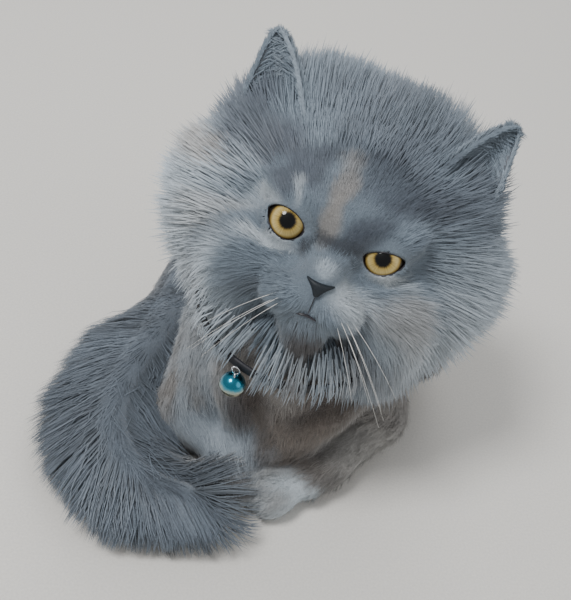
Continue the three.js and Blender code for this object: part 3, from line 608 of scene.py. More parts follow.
@dataclass(frozen=True)
class Eye:
    """One eye: its place, the opening between its lids and which way it looks.

    A place on the eye is given by how far it is towards the outer corner, how far up and how far
    ahead along the gaze, all from the middle of the eyeball.
    """

    side: Side

    @property
    def centre(self) -> np.ndarray:
        """The middle of the eyeball in the head's frame."""
        return np.array([EYE_SPACING / 2 * self.side.value, EYE_DEPTH, EYE_HEIGHT])

    @property
    def heights(self) -> tuple[float, float]:
        """How far the lids open above and below the line between the corners."""
        return (3.5, 8.3) if self.side is Side.LEFT else (5.7, 8.9)

    @property
    def axes(self) -> np.ndarray:
        """The directions towards the outer corner, up and ahead, in the head's frame.

        Returns:
            The three directions, one a row.
        """
        ahead = unit(HEAD.into(CAMERA_PLACE[None])[0] - self.centre)
        outward = np.array([float(self.side.value), 0.0, 0.0])
        outward = unit(outward - (outward @ ahead) * ahead)
        return np.stack([outward, self.side.value * np.cross(ahead, outward), ahead])

    def local(self, q: np.ndarray) -> np.ndarray:
        """Takes places in the head's frame to places on the eye."""
        return (q - self.centre) @ self.axes.T

    def placed(self, d: np.ndarray) -> np.ndarray:
        """Takes places on the eye to the head's frame."""
        return d @ self.axes + self.centre

    def ball(self, q: np.ndarray, radius: float) -> np.ndarray:
        """Returns the field of a sphere round the middle of the eye."""
        return np.linalg.norm(q - self.centre, axis=1) - radius

    def lid(self, q: np.ndarray) -> np.ndarray:
        """Returns the field of the lids before their opening is cut."""
        return self.ball(q, EYE_RADIUS + LID_THICKNESS)

    def brow(self, q: np.ndarray) -> np.ndarray:
        """Returns the field of the brow that hangs over the upper lid.

        Args:
            q: Places in the head's frame.

        Returns:
            The distances, negative inside.
        """
        high = self.heights[0]
        inner, outer = self.placed(np.array([(-12.5, high + 2.2, 7.5), (10.0, high + 5.6, 5.0)]))
        return limb(inner, outer, 4.4, 3.4)(q)

    def edges(self, outward: np.ndarray) -> tuple[np.ndarray, np.ndarray]:
        """Returns the heights of the upper and the lower lid at places from corner to corner.

        Args:
            outward: Places towards the outer corner.

        Returns:
            The upper and the lower heights.
        """
        high, low = self.heights
        chord = EYE_SLANT * outward - 0.2
        bow = np.sqrt(np.maximum(1 - ((outward - EYE_OPENING_MIDDLE) / EYE_OPENING_HALF) ** 2, 0))
        return chord + high * bow, chord - low * bow ** 1.2

    def almond(self, d: np.ndarray) -> np.ndarray:
        """Returns how far a place on the eye is outside the opening, negative inside.

        Args:
            d: Places along the eye's own axes.

        Returns:
            The distances, negative inside.
        """
        upper, lower = self.edges(d[:, 0])
        across = np.abs(d[:, 0] - EYE_OPENING_MIDDLE) - EYE_OPENING_HALF
        off = np.maximum(d[:, 1] - upper, lower - d[:, 1])
        return np.where(across > 0, np.hypot(across, np.maximum(off, 0)), off)

    def opening(self, q: np.ndarray) -> np.ndarray:
        """Returns the field of the opening, which runs ahead from the eyeball."""
        d = self.local(q)
        return np.maximum(self.almond(d), -d[:, 2])

    def rim(self, count: int, radius: float) -> np.ndarray:
        """Returns places round the edge of the lids, on a sphere of the given radius.

        Args:
            count: How many places.
            radius: The sphere's radius.

        Returns:
            The places.
        """
        turn = np.linspace(0, 2 * np.pi, count, endpoint=False)
        outward = EYE_OPENING_MIDDLE + EYE_OPENING_HALF * np.cos(turn)
        upper, lower = self.edges(outward)
        height = np.where(turn < np.pi, upper, lower)
        ahead = np.sqrt(np.maximum(radius ** 2 - outward ** 2 - height ** 2, 1))
        return self.placed(np.stack([outward, height, ahead], 1))


ANATOMY = Anatomy()


# Meshes.


def surface(
    field: Field, xs: np.ndarray, ys: np.ndarray, zs: np.ndarray, reach: float = 9.0
) -> tuple[np.ndarray, np.ndarray]:
    """Meshes a field with one point in each cell that its surface crosses.

    Args:
        field: The field, negative inside.
        xs: Places of the grid along X.
        ys: Places of the grid along Y.
        zs: Places of the grid along Z.
        reach: Side of the coarse cells that find where the surface is.

    Returns:
        The points, and four point numbers for each face.
    """
    coarse = [np.arange(a[0], a[-1] + reach, reach) for a in (xs, ys, zs)]
    rough = field(np.stack(np.meshgrid(*coarse, indexing="ij"), -1).reshape(-1, 3))
    rough = rough.reshape([len(a) for a in coarse])
    nearest = [np.abs(a[:, None] - c[None, :]).argmin(1) for a, c in zip((xs, ys, zs), coarse)]
    values = rough[np.ix_(*nearest)]
    close = np.abs(values) < reach * 1.5
    i, j, k = np.nonzero(close)
    values[close] = field(np.stack([xs[i], ys[j], zs[k]], 1))
    inside = values < 0
    corners = [(c & 1, (c >> 1) & 1, (c >> 2) & 1) for c in range(8)]
    shape = tuple(n - 1 for n in values.shape)

    def corner(a: np.ndarray, c: tuple[int, int, int]) -> np.ndarray:
        """Returns the values at one corner of every cell."""
        return a[c[0]:c[0] + shape[0], c[1]:c[1] + shape[1], c[2]:c[2] + shape[2]]

    count = sum(corner(inside, c).astype(np.int8) for c in corners)
    cells = np.stack(np.nonzero((count > 0) & (count < 8)), 1)
    at = [values[tuple((cells + np.array(c)).T)] for c in corners]
    total = np.zeros((len(cells), 3))
    crossings = np.zeros(len(cells))
    for a in range(8):
        for bit in (1, 2, 4):
            if a & bit:
                continue
            b = a | bit
            crossed = (at[a] < 0) != (at[b] < 0)
            t = np.where(crossed, at[a] / np.where(crossed, at[a] - at[b], 1), 0)
            start, end = np.array(corners[a]), np.array(corners[b])
            total += np.where(crossed[:, None], start + t[:, None] * (end - start), 0)
            crossings += crossed
    share = total / crossings[:, None]
    grid = (xs, ys, zs)
    low = np.stack([g[cells[:, n]] for n, g in enumerate(grid)], 1)
    high = np.stack([g[cells[:, n] + 1] for n, g in enumerate(grid)], 1)
    points = low + share * (high - low)
    for _ in range(2):
        d = np.clip(field(points), -1, 1)
        points = points - 0.8 * d[:, None] * slope(field, points)
    number = np.full(shape, -1, np.int64)
    number[tuple(cells.T)] = np.arange(len(cells))
    faces = []
    for axis in range(3):
        u, w = [n for n in range(3) if n != axis]
        ahead = [slice(1, n - 1) for n in values.shape]
        ahead[axis] = slice(0, values.shape[axis] - 1)
        here = inside[tuple(ahead)]
        ahead[axis] = slice(1, values.shape[axis])
        there = inside[tuple(ahead)]
        spots = np.stack(np.nonzero(here != there), 1)
        flag = here[tuple(spots.T)]
        base = spots + np.array([0 if n == axis else 1 for n in range(3)])
        quad = []
        for du, dw in ((1, 1), (0, 1), (0, 0), (1, 0)):
            cell = base.copy()
            cell[:, u] -= du
            cell[:, w] -= dw
            quad.append(number[tuple(cell.T)])
        quad = np.stack(quad, 1)
        turned = flag if axis != 1 else ~flag
        quad[~turned] = quad[~turned][:, ::-1]
        faces.append(quad)
    return points, np.vstack(faces)


def graded(
    low: float, high: float, fine_from: float, fine_to: float, fine: float, wide: float,
) -> np.ndarray:
    """Returns places along an axis, closer together over one stretch of it.

    Args:
        low: Where it starts.
        high: Where it ends.
        fine_from: Start of the fine stretch.
        fine_to: Its end.
        fine: Step in it.
        wide: Step outside it.

    Returns:
        The places.
    """
    return np.concatenate([
        np.arange(low, fine_from, wide), np.arange(fine_from, fine_to, fine),
        np.arange(fine_to, high + wide, wide),
    ])


UNWRAP_SPAN = 360.0
UNWRAP_START = np.array([60.0, 100.0, 180.0])


def unwrap(p: np.ndarray, n: np.ndarray) -> np.ndarray:
    """Lays the skin's shape out flat: each of six sides of the cat has its own cell.

    Args:
        p: Places on the skin.
        n: Outward directions there.

    Returns:
        A place on the map for each.
    """
    axis = np.abs(n).argmax(1)
    rows = np.arange(len(p))
    sign = (n[rows, axis] > 0).astype(float)
    flat = []
    for turn in (1, 2):
        other = (axis + turn) % 3
        share = (p[rows, other] + UNWRAP_START[other]) / UNWRAP_SPAN
        flat.append(np.clip(share * 0.5 + 0.25, 0.01, 0.99))
    return np.stack([(axis + flat[0]) / 3, (sign + flat[1]) / 2], 1)


def to_metres(points: np.ndarray) -> np.ndarray:
    """Takes points from the cat's frame in millimetres to the model's in metres."""
    return (points + SHIFT) / 1000


def add_mesh(
    name: str, points: np.ndarray, sizes: np.ndarray, loops: np.ndarray,
    colour: np.ndarray | None = None, uv: np.ndarray | None = None, uv_name: str = "OFBake",
    facing: np.ndarray | None = None,
) -> bpy.types.Object:
    """Makes an object from arrays.

    Args:
        name: Its name.
        points: Corner places in millimetres.
        sizes: The number of corners of each face.
        loops: The corners of all faces in turn.
        colour: A linear colour for each corner place, for the attribute Coat.
        uv: A map place for each entry of loops.
        uv_name: The name of that map.
        facing: A direction to shade each corner place by, where it isn't the surface's own.

    Returns:
        The object, in the scene.
    """
    mesh = bpy.data.meshes.new(name)
    mesh.vertices.add(len(points))
    mesh.vertices.foreach_set("co", to_metres(points).astype(np.float32).ravel())
    mesh.loops.add(len(loops))
    mesh.loops.foreach_set("vertex_index", loops.astype(np.int32))
    mesh.polygons.add(len(sizes))
    starts = np.concatenate([[0], np.cumsum(sizes)[:-1]])
    mesh.polygons.foreach_set("loop_start", starts.astype(np.int32))
    mesh.polygons.foreach_set("loop_total", sizes.astype(np.int32))
    mesh.update(calc_edges=True)
    mesh.polygons.foreach_set("use_smooth", np.full(len(sizes), True))
    if colour is not None:
        layer = mesh.color_attributes.new("Coat", "FLOAT_COLOR", "POINT")
        rgba = np.concatenate([colour, np.ones((len(colour), 1))], 1)
        layer.data.foreach_set("color", rgba.astype(np.float32).ravel())
    if uv is not None:
        layer = mesh.uv_layers.new(name=uv_name)
        layer.data.foreach_set("uv", uv.astype(np.float32).ravel())
    mesh.update()
    if facing is not None:
        mesh.normals_split_custom_set_from_vertices(facing.astype(np.float32))
    made = bpy.data.objects.new(name, mesh)
    bpy.context.scene.collection.objects.link(made)
    return made


def finish_piece(piece: bpy.types.Object, material: bpy.types.Material, slot: str, *nodes: str) -> None:
    """Gives a piece its material and its body, and hides the nodes it stands for.

    Args:
        piece: The piece.
        material: Its material.
        slot: Not used.
        nodes: Names of the CAD nodes that it stands for.
    """
    piece.data.materials.clear()
    piece.data.materials.append(material)
    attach(piece, "root")
    if nodes:
        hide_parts(*nodes)
    log.info("%s: %d faces", piece.name, len(piece.data.polygons))


# Collar: its plane, and the course that the strap takes round the neck.
COLLAR_UP = np.array([0, -math.sin(COLLAR_TILT), math.cos(COLLAR_TILT)])
COLLAR_FORWARD = np.array([0, -math.cos(COLLAR_TILT), -math.sin(COLLAR_TILT)])
STRAP_STATIONS = 120
STRAP_ANGLES = np.linspace(-np.pi, np.pi, STRAP_STATIONS + 1)


def above_collar(p: np.ndarray) -> np.ndarray:
    """Returns how far places are above the plane of the collar."""
    return (p - COLLAR_CENTRE) @ COLLAR_UP


def round_collar(angle: np.ndarray) -> np.ndarray:
    """Returns the directions from the middle of the collar at angles from its front."""
    return np.cos(angle)[:, None] * COLLAR_FORWARD + np.sin(angle)[:, None] * np.array([1.0, 0, 0])


def strap_reach() -> np.ndarray:
    """Returns how far the inner face of the strap is from the middle at its stations.

    Returns:
        The distances, one a station.
    """
    out = round_collar(STRAP_ANGLES)
    reach = np.full(len(out), 20.0)
    for _ in range(60):
        reach = reach - (ANATOMY.body(COLLAR_CENTRE + out * reach[:, None]) - COLLAR_CLEARANCE) * 0.7
    return np.maximum(reach, COLLAR_RADIUS)


STRAP_REACH = strap_reach()


def from_strap(p: np.ndarray) -> tuple[np.ndarray, np.ndarray, np.ndarray]:
    """Returns heights above the strap, reaches of its inner face and ways outwards at places.

    Args:
        p: Places in the cat's frame.

    Returns:
        The heights, reaches and ways.
    """
    height = above_collar(p)
    aside = p - COLLAR_CENTRE - height[:, None] * COLLAR_UP
    angle = np.arctan2(aside[:, 0], aside @ COLLAR_FORWARD)
    return height, np.interp(angle, STRAP_ANGLES, STRAP_REACH), aside


# Markings and painted shade: one function of place, for skin and coat alike.

SLATE = linear("#717d88")
PALE_SLATE = linear("#b2bdc6")
DARK_SLATE = linear("#4b525c")
TAIL_SLATE = linear("#5f6872")
CLIPPED = linear("#7d7a77")
# The chest's grey coat, darkened and warmed as painted shade: the head's shadow, with warm light thrown back
# from the floor.
CHEST_IN_SHADE = linear("#665c54")
FORELEG = linear("#919ca6")
PALE_PAW = linear("#ccd8e0")
WARM_GREY = linear("#a3a19d")
TAN = linear("#918c86")
CREAM = linear("#b5ada4")
WHITE_TIPPED = linear("#c2cacf")
# Painted shade for the underside of the chin, the hollows and the creases.
SHADE = linear("#423b38")
STAIN = linear("#34383f")


@dataclass(frozen=True)
class Patch:
    """A soft patch of colour in the coat: a marking, or painted shade."""

    centre: tuple[float, float, float]
    size: tuple[float, float, float]
    colour: np.ndarray
    strength: float
    on_head: bool = True

    def lay(self, colour: np.ndarray, p: np.ndarray, q: np.ndarray, wave: np.ndarray) -> np.ndarray:
        """Lays the patch over the colours at places.

        Args:
            colour: Colours so far.
            p: Places in the cat's frame.
            q: The same places in the head's frame.
            wave: A number at each place that breaks up the edge.

        Returns:
            The new colours.
        """
        at = q if self.on_head else p
        d = np.linalg.norm((at - np.array(self.centre)) / np.array(self.size), axis=1)
        share = self.strength * (1 - ramp(d + 0.3 * wave, 0.45, 1.25))
        return colour + (self.colour - colour) * share[:, None]


PATCHES = (
    Patch((6, -16, 54), (44, 26, 16), DARK_SLATE, 0.55),
    Patch((-72, -2, 4), (36, 50, 46), PALE_SLATE, 0.95),
    Patch((76, 0, -8), (34, 50, 40), PALE_SLATE, 0.65),
    Patch((0, -22, -56), (60, 34, 10), PALE_SLATE, 0.6),
    Patch((-58, -12, -40), (30, 40, 26), PALE_SLATE, 0.65),
    Patch((54, -26, -26), (30, 32, 24), PALE_SLATE, 0.55),
    Patch((-52, -12, 33), (22, 26, 16), DARK_SLATE, 0.85),
    Patch((-27, -33, 29), (18, 22, 17), DARK_SLATE, 0.9),
    Patch((18, -30, 36), (24, 26, 22), DARK_SLATE, 0.7),
    Patch((32, -32, 28), (16, 18, 11), DARK_SLATE, 0.65),
    Patch((50, -14, 34), (20, 24, 16), DARK_SLATE, 0.65),
    Patch((12, -46, 14), (12, 12, 10), DARK_SLATE, 0.7),
    Patch((-5, -49, 13), (6, 14, 15), TAN, 0.75),
    Patch((-6, -38, 34), (7.5, 16, 18), TAN, 0.65),
    Patch((-24, -44, 20), (3, 10, 10), WHITE_TIPPED, 0.4),
    Patch((-43, -36, 12), (12, 12, 4), WHITE_TIPPED, 0.45),
    Patch((-67, -8, 17), (13, 20, 9), CREAM, 0.6),
    Patch((-52, -20, -8), (16, 16, 12), CREAM, 0.3),
    Patch((-30, -42, -7), (15, 9, 4.5), WHITE_TIPPED, 0.6),
    Patch((35, -41, -4), (14, 9, 4.5), WHITE_TIPPED, 0.9),
    Patch((3, -48, 3), (16, 10, 4.5), STAIN, 0.85),
    Patch((9, -49, 10), (8, 8, 6), DARK_SLATE, 0.8),
    Patch((-1, -55, -8), (8, 9, 5), PALE_SLATE, 0.6),
    Patch((19, -53, -19), (13, 14, 10), WHITE_TIPPED, 0.75),
    Patch((38, -30, -20), (14, 18, 12), CREAM, 0.4),
    Patch((-28, -42, -28), (13, 14, 6), DARK_SLATE, 0.35),
    # Painted shade under the chin and the muzzle.
    Patch((6, -40, -43), (22, 20, 7), SHADE, 0.85),
    Patch((26, -34, -40), (13, 14, 7), SHADE, 0.7),
    Patch((44, -30, -38), (14, 16, 8), DARK_SLATE, 0.5),
    Patch((-14, -46, -4), (4, 7, 6), STAIN, 0.95),
    Patch((14, -47, -2), (4, 7, 6), STAIN, 0.95),
    # The chest in its shaded tone: painted shade from the head over the coat's grey.
    Patch((-2, -84, 70), (42, 30, 60), CHEST_IN_SHADE, 0.85, False),
    # Painted shade on the chest under the ruff.
    Patch((2, -88, 88), (34, 24, 14), SHADE, 0.6, False),
    Patch((-40, -62, 30), (34, 36, 34), FORELEG, 0.9, False),
    Patch((-50, -40, 80), (26, 40, 44), FORELEG, 0.7, False),
    # Painted shade in the hollow between the right foreleg and the chest.
    Patch((-29, -76, 66), (9, 16, 26), SHADE, 0.8, False),
    # Painted shade along the crease between the chest and the left foreleg.
    Patch((23, -86, 106), (9, 12, 10), SHADE, 0.8, False),
    Patch((9, -93, 90), (8, 12, 10), SHADE, 0.85, False),
    Patch((0, -94, 74), (7, 12, 9), SHADE, 0.7, False),
    Patch((-12, -92, 96), (14, 14, 12), WARM_GREY, 0.4, False),
    Patch((4, -94, 10), (28, 20, 16), PALE_PAW, 0.95, False),
    Patch((48, -64, 24), (34, 26, 22), WARM_GREY, 0.85, False),
    # The chest's shaded tone laid thinly on the far thigh: painted shade.
    Patch((96, 20, 40), (40, 70, 40), CHEST_IN_SHADE, 0.3, False),
)


def wavering(p: np.ndarray, scale: float, seed: int) -> np.ndarray:
    """Returns smooth uneven numbers between -1 and 1 at places, from crossed waves.

    Args:
        p: Places in the cat's frame.
        scale: Middle length of a wave in millimetres.
        seed: Seed of the waves.

    Returns:
        The numbers.
    """
    source = np.random.default_rng(seed)
    total = np.zeros(len(p))
    for _ in range(6):
        way = unit(source.normal(size=3)) / scale * source.uniform(0.7, 1.6)
        total += np.sin(p @ way * 2 * np.pi + source.uniform(0, 6.28))
    return total / 6 * 1.6


def coat_colour(p: np.ndarray) -> np.ndarray:
    """Returns the linear colour of the coat at places in the cat's frame.

    Args:
        p: Places in the cat's frame.

    Returns:
        The colours, one a row.
    """
    q = HEAD.into(p)
    head = 1 - ramp(soften(ANATOMY.skull(q), ANATOMY.ruff(q), 6), 2, 8)
    head = np.maximum(head, ramp(q[:, 2], 28, 34) * (1 - ramp(np.linalg.norm(q, axis=1), 112, 122)))
    tail = 1 - ramp(ANATOMY.tail(p), 2, 10)
    colour = np.tile(CLIPPED, (len(p), 1))
    colour += (TAIL_SLATE - colour) * tail[:, None]
    neck = ramp(above_collar(p), -2, 5) * ramp(-p[:, 1], 0, 30)
    colour += (SLATE - colour) * np.maximum(head, neck)[:, None]
    wave = wavering(p, 22, 3)
    for patch in PATCHES:
        colour = patch.lay(colour, p, q, wave)
    return colour * (1 + 0.10 * wavering(p, 34, 5) + 0.06 * wavering(p, 9, 6))[:, None]


# Materials.


def add_node(
    tree: bpy.types.NodeTree, kind: str, links: dict | None = None, **settings: object,
) -> bpy.types.Node:
    """Adds a node to a tree.

    Args:
        tree: The tree.
        kind: The node's type.
        links: For an input by name or number, the socket or the value it gets.
        settings: Its other settings.

    Returns:
        The node.
    """
    node = tree.nodes.new(kind)
    for key, value in settings.items():
        setattr(node, key, value)
    for key, value in (links or {}).items():
        if isinstance(value, bpy.types.NodeSocket):
            tree.links.new(value, node.inputs[key])
        else:
            node.inputs[key].default_value = value
    return node


@dataclass(frozen=True)
class Finish:
    """The plain values of a material's surface."""

    roughness: float
    specular: float = 0.5
    metallic: float = 0.0
    sheen: float = 0.0
    coat: float = 0.0
    coat_roughness: float = 0.03
    ior: float = 1.5


def new_material(
    name: str, finish: Finish,
) -> tuple[bpy.types.Material, bpy.types.NodeTree, bpy.types.Node]:
    """Makes a material with a Principled surface and returns it, its tree and that node.

    Args:
        name: Its name.
        finish: The plain values of its surface.

    Returns:
        The material, its tree and its surface.
    """
    material = bpy.data.materials.new(name)
    material.use_nodes = True
    tree = material.node_tree
    shader = tree.nodes["Principled BSDF"]
    shader.inputs["Roughness"].default_value = finish.roughness
    shader.inputs["Specular IOR Level"].default_value = finish.specular
    shader.inputs["Metallic"].default_value = finish.metallic
    shader.inputs["IOR"].default_value = finish.ior
    shader.inputs["Sheen Weight"].default_value = finish.sheen
    shader.inputs["Coat Weight"].default_value = finish.coat
    shader.inputs["Coat Roughness"].default_value = finish.coat_roughness
    return material, tree, shader


def grains(size: float) -> float:
    """Returns the scale of a pattern from the size of its grain in millimetres, to the nearest ten."""
    return float(round(1000 / size, -1))


def rgba(colour: np.ndarray) -> tuple[float, float, float, float]:
    """Returns a linear colour as four numbers for a socket."""
    return (*[float(c) for c in colour], 1.0)


class Materials:
    """The materials of the cat, each made once."""

    def __init__(self) -> None:
        """Makes every material."""
        # Guard hair: dull with a soft sheen. Its tone varies over 1.1 mm, a thin lock, because one hair of
        # 0.05 mm is too fine to show.
        self.fur = self._fur("cat_guard_hair", Finish(0.5, 0.35, sheen=0.35), 1.11, 0.16)
        # Clipped hair: duller. Its tone varies over 0.7 mm, a cut tuft, for the same reason.
        self.short_fur = self._fur("cat_clipped_hair", Finish(0.6, 0.3, sheen=0.3), 0.714, 0.14)
        self.skin = self._skin()
        self.ear = self._ear()
        self.leather = self._leather()
        self.eye = self._eye()
        self.bell = self._bell()
        # Lid skin: near black and wet, so that it draws the eye's outline with a thin gloss.
        self.rim = self._plain("wet_dark_lid_skin", "#26242a", Finish(0.3, 0.5), 0.4)
        # Whisker keratin: white and smooth, so that each whisker catches light along its length.
        self.whisker = self._plain("white_whisker_keratin", "#f1efe9", Finish(0.35, 0.5), 0.2)
        # Dyed leather: dull near black with a soft grain.
        self.strap = self._plain("dyed_leather_strap", "#25262b", Finish(0.55, 0.4), 1.0)
        # Drawn steel wire: bright and almost without grain.
        self.ring = self._plain("bright_steel_wire", "#c9ccd0", Finish(0.25, 0.5, 1.0), 0.2)
        # Matt floor: pale and dull, so that it only takes the shadow.
        self.floor = self._plain("pale_matt_floor", "#d9d6d0", Finish(0.85, 0.2), 0.0)

    @staticmethod
    def _mottled(
        tree: bpy.types.NodeTree, shader: bpy.types.Node, pattern: dict,
        span: tuple[float, float], tones: tuple[float, float],
    ) -> bpy.types.NodeSocket:
        """Gives a surface the coat's own colour at each place, made uneven by noise.

        Args:
            tree: The material's tree.
            shader: Its surface.
            pattern: The inputs of the noise.
            span: The values of the noise between which the tone changes.
            tones: The tones at both ends of the span.

        Returns:
            The socket with the noise.
        """
        coat = add_node(tree, "ShaderNodeVertexColor", layer_name="Coat")
        noise = add_node(tree, "ShaderNodeTexNoise", pattern)
        tone = add_node(
            tree, "ShaderNodeMapRange",
            {0: noise.outputs["Fac"], 1: span[0], 2: span[1], 3: tones[0], 4: tones[1]},
        )
        mixed = add_node(
            tree, "ShaderNodeVectorMath", {0: coat.outputs["Color"], "Scale": tone.outputs[0]},
            operation="SCALE",
        )
        tree.links.new(mixed.outputs[0], shader.inputs["Base Color"])
        return noise.outputs["Fac"]

    def _fur(self, name: str, finish: Finish, grain: float, share: float) -> bpy.types.Material:
        """Hair: a fine dull gloss along each strand, and a slight unevenness of tone.

        Args:
            name: Its name.
            finish: The plain values of its surface.
            grain: Grain of the tone in millimetres.
            share: How much the tone varies.

        Returns:
            The material.
        """
        material, tree, shader = new_material(name, finish)
        place = add_node(tree, "ShaderNodeTexCoord").outputs["Object"]
        pattern = {"Vector": place, "Scale": grains(grain), "Detail": 3.0}
        self._mottled(tree, shader, pattern, (0.3, 0.7), (1 - share, 1 + share))
        shader.inputs["Sheen Roughness"].default_value = 0.5
        return material

    def _skin(self) -> bpy.types.Material:
        """Skin under dense undercoat: the coat's own colour, darker, with a fine felted bump.

        Returns:
            The material.
        """
        material, tree, shader = new_material("skin_and_undercoat", Finish(0.8, 0.2, sheen=0.3))
        place = add_node(tree, "ShaderNodeTexCoord").outputs["Object"]
        stretch = add_node(tree, "ShaderNodeMapping", {"Vector": place, "Scale": (1.0, 0.45, 0.7)})
        # The felt is drawn at 0.9 mm: its real fibres of 0.02 mm are too fine to show.
        pattern = {
            "Vector": stretch.outputs[0], "Scale": grains(0.909), "Detail": 4.0, "Roughness": 0.65,
        }
        felt = self._mottled(tree, shader, pattern, (0.25, 0.75), (0.68, 0.95))
        bump = add_node(tree, "ShaderNodeBump", {"Height": felt, "Strength": 0.8, "Distance": 0.0012})
        tree.links.new(bump.outputs[0], shader.inputs["Normal"])
        return material

    def _ear(self) -> bpy.types.Material:
        """Thin ear skin: slate grey where it is bare, finely creased, a little see-through.

        Returns:
            The material.
        """
        material, tree, shader = new_material("thin_ear_skin", Finish(0.6, 0.35, sheen=0.2))
        place = add_node(tree, "ShaderNodeTexCoord").outputs["Object"]
        # Creases lie about 2 mm apart, as on a real ear.
        pattern = {"Vector": place, "Scale": grains(2.0), "Detail": 4.0}
        creases = self._mottled(tree, shader, pattern, (0.3, 0.7), (0.8, 1.15))
        bump = add_node(tree, "ShaderNodeBump", {"Height": creases, "Strength": 0.4, "Distance": 0.0005})
        tree.links.new(bump.outputs[0], shader.inputs["Normal"])
        shader.inputs["Subsurface Weight"].default_value = 0.15
        shader.inputs["Subsurface Radius"].default_value = (0.004, 0.002, 0.0015)
        return material

    def _plain(self, name: str, colour: str, finish: Finish, bump: float) -> bpy.types.Material:
        """A surface of one colour with slight fine wear and grain.

        Args:
            name: Its name.
            colour: Its colour.
            finish: The plain values of its surface.
            bump: How rough its grain is, from 0 for none.

        Returns:
            The material.
        """
        material, tree, shader = new_material(name, finish)
        place = add_node(tree, "ShaderNodeTexCoord").outputs["Object"]
        # Drawn at 1.4 mm: the real grain of leather, wire and keratin, 0.1 mm or less, is too fine to show.
        noise = add_node(
            tree, "ShaderNodeTexNoise", {"Vector": place, "Scale": grains(1.43), "Detail": 5.0},
        )
        base = linear(colour)
        worn = add_node(tree, "ShaderNodeMix", {"Factor": noise.outputs["Fac"]}, data_type="RGBA")
        worn.inputs["A"].default_value = rgba(base * 0.85)
        worn.inputs["B"].default_value = rgba(np.minimum(base * 1.15, 1))
        tree.links.new(worn.outputs["Result"], shader.inputs["Base Color"])
        if bump:
            grain = add_node(
                tree, "ShaderNodeBump",
                {"Height": noise.outputs["Fac"], "Strength": bump * 0.5, "Distance": 0.0002},
            )
            tree.links.new(grain.outputs[0], shader.inputs["Normal"])
        return material

    def _leather(self) -> bpy.types.Material:
        """Nose leather: dark slate, pebbled at about 0.5 mm, and faintly moist.

        Returns:
            The material.
        """
        material, tree, shader = new_material(
            "moist_nose_leather", Finish(0.55, 0.3, coat=0.12, coat_roughness=0.3)
        )
        place = add_node(tree, "ShaderNodeTexCoord").outputs["Object"]
        cells = add_node(tree, "ShaderNodeTexVoronoi", {"Vector": place, "Scale": grains(0.526)})
        pebbles = cells.outputs["Distance"]
        mixed = add_node(tree, "ShaderNodeMix", {"Factor": pebbles}, data_type="RGBA")
        mixed.inputs["A"].default_value = rgba(linear("#1e262d"))
        mixed.inputs["B"].default_value = rgba(linear("#11161a"))
        tree.links.new(mixed.outputs["Result"], shader.inputs["Base Color"])
        bump = add_node(
            tree, "ShaderNodeBump", {"Height": pebbles, "Strength": 0.5, "Distance": 0.0003}, invert=True,
        )
        tree.links.new(bump.outputs[0], shader.inputs["Normal"])
        return material

    @staticmethod
    def _eye() -> bpy.types.Material:
        """The eye under its clear wet surface: black pupil, amber iris with fibres, dark rim.

        Returns:
            The material.
        """
        material, tree, shader = new_material(
            "wet_amber_eye", Finish(0.45, 0.05, coat=0.55, coat_roughness=0.02)
        )
        uv = add_node(tree, "ShaderNodeUVMap", uv_map="EyeAngle")
        parts = add_node(tree, "ShaderNodeSeparateXYZ", {0: uv.outputs[0]})
        # About 60 fibres go round the iris, as coarse as they need to show: real ones are finer.
        squeeze = add_node(tree, "ShaderNodeMapping", {"Vector": uv.outputs[0], "Scale": (60.0, 5.0, 1.0)})
        fibres = add_node(
            tree, "ShaderNodeTexNoise", {"Vector": squeeze.outputs[0], "Scale": 1.0, "Detail": 4.0},
        )
        edge = add_node(
            tree, "ShaderNodeMath", {0: fibres.outputs["Fac"], 1: 0.035, 2: parts.outputs["Y"]},
            operation="MULTIPLY_ADD",
        )
        bands = add_node(tree, "ShaderNodeValToRGB", {0: edge.outputs[0]})
        stops = (
            (0.0, "#010102"), (0.112, "#010102"), (0.127, "#4d3f1e"), (0.155, "#a48c4c"),
            (0.225, "#bda96f"), (0.268, "#8f763d"), (0.293, "#43371d"), (0.318, "#17130f"),
            (1.0, "#4f4842"),
        )
        ramp_stops = bands.color_ramp.elements
        while len(ramp_stops) < len(stops):
            ramp_stops.new(0.5)
        for stop, (place, colour) in zip(ramp_stops, stops):
            stop.position = place
            stop.color = rgba(linear(colour))
        streak = add_node(
            tree, "ShaderNodeMapRange", {0: fibres.outputs["Fac"], 1: 0.3, 2: 0.7, 3: 0.75, 4: 1.2},
        )
        mixed = add_node(
            tree, "ShaderNodeVectorMath", {0: bands.outputs[0], "Scale": streak.outputs[0]},
            operation="SCALE",
        )
        tree.links.new(mixed.outputs[0], shader.inputs["Base Color"])
        return material

    @staticmethod
    def _bell() -> bpy.types.Material:
        """Lacquered brass: clear teal lacquer on the upper part, worn to pale gold below.

        Returns:
            The material.
        """
        material, tree, shader = new_material(
            "teal_lacquered_brass", Finish(0.22, 0.5, 1.0, coat=0.8, coat_roughness=0.08)
        )
        place = add_node(tree, "ShaderNodeTexCoord")
        # The edge of the wear wanders over 2.4 mm, a third of the bell's radius.
        noise = add_node(
            tree, "ShaderNodeTexNoise", {"Vector": place.outputs["Object"], "Scale": grains(2.38)},
        )
        parts = add_node(tree, "ShaderNodeSeparateXYZ", {0: place.outputs["Object"]})
        height = add_node(
            tree, "ShaderNodeMath", {0: noise.outputs["Fac"], 1: 0.003, 2: parts.outputs["Z"]},
            operation="MULTIPLY_ADD",
        )
        middle = float(to_metres(BELL_CENTRE)[2]) + 0.0015
        share = add_node(
            tree, "ShaderNodeMapRange",
            {0: height.outputs[0], 1: middle - 0.0022, 2: middle + 0.0022, 3: 0.0, 4: 1.0},
        )
        mixed = add_node(tree, "ShaderNodeMix", {"Factor": share.outputs[0]}, data_type="RGBA")
        mixed.inputs["A"].default_value = rgba(linear("#d8c79a"))
        mixed.inputs["B"].default_value = rgba(linear("#1c7f98"))
        tree.links.new(mixed.outputs["Result"], shader.inputs["Base Color"])
        return material


# Skin.


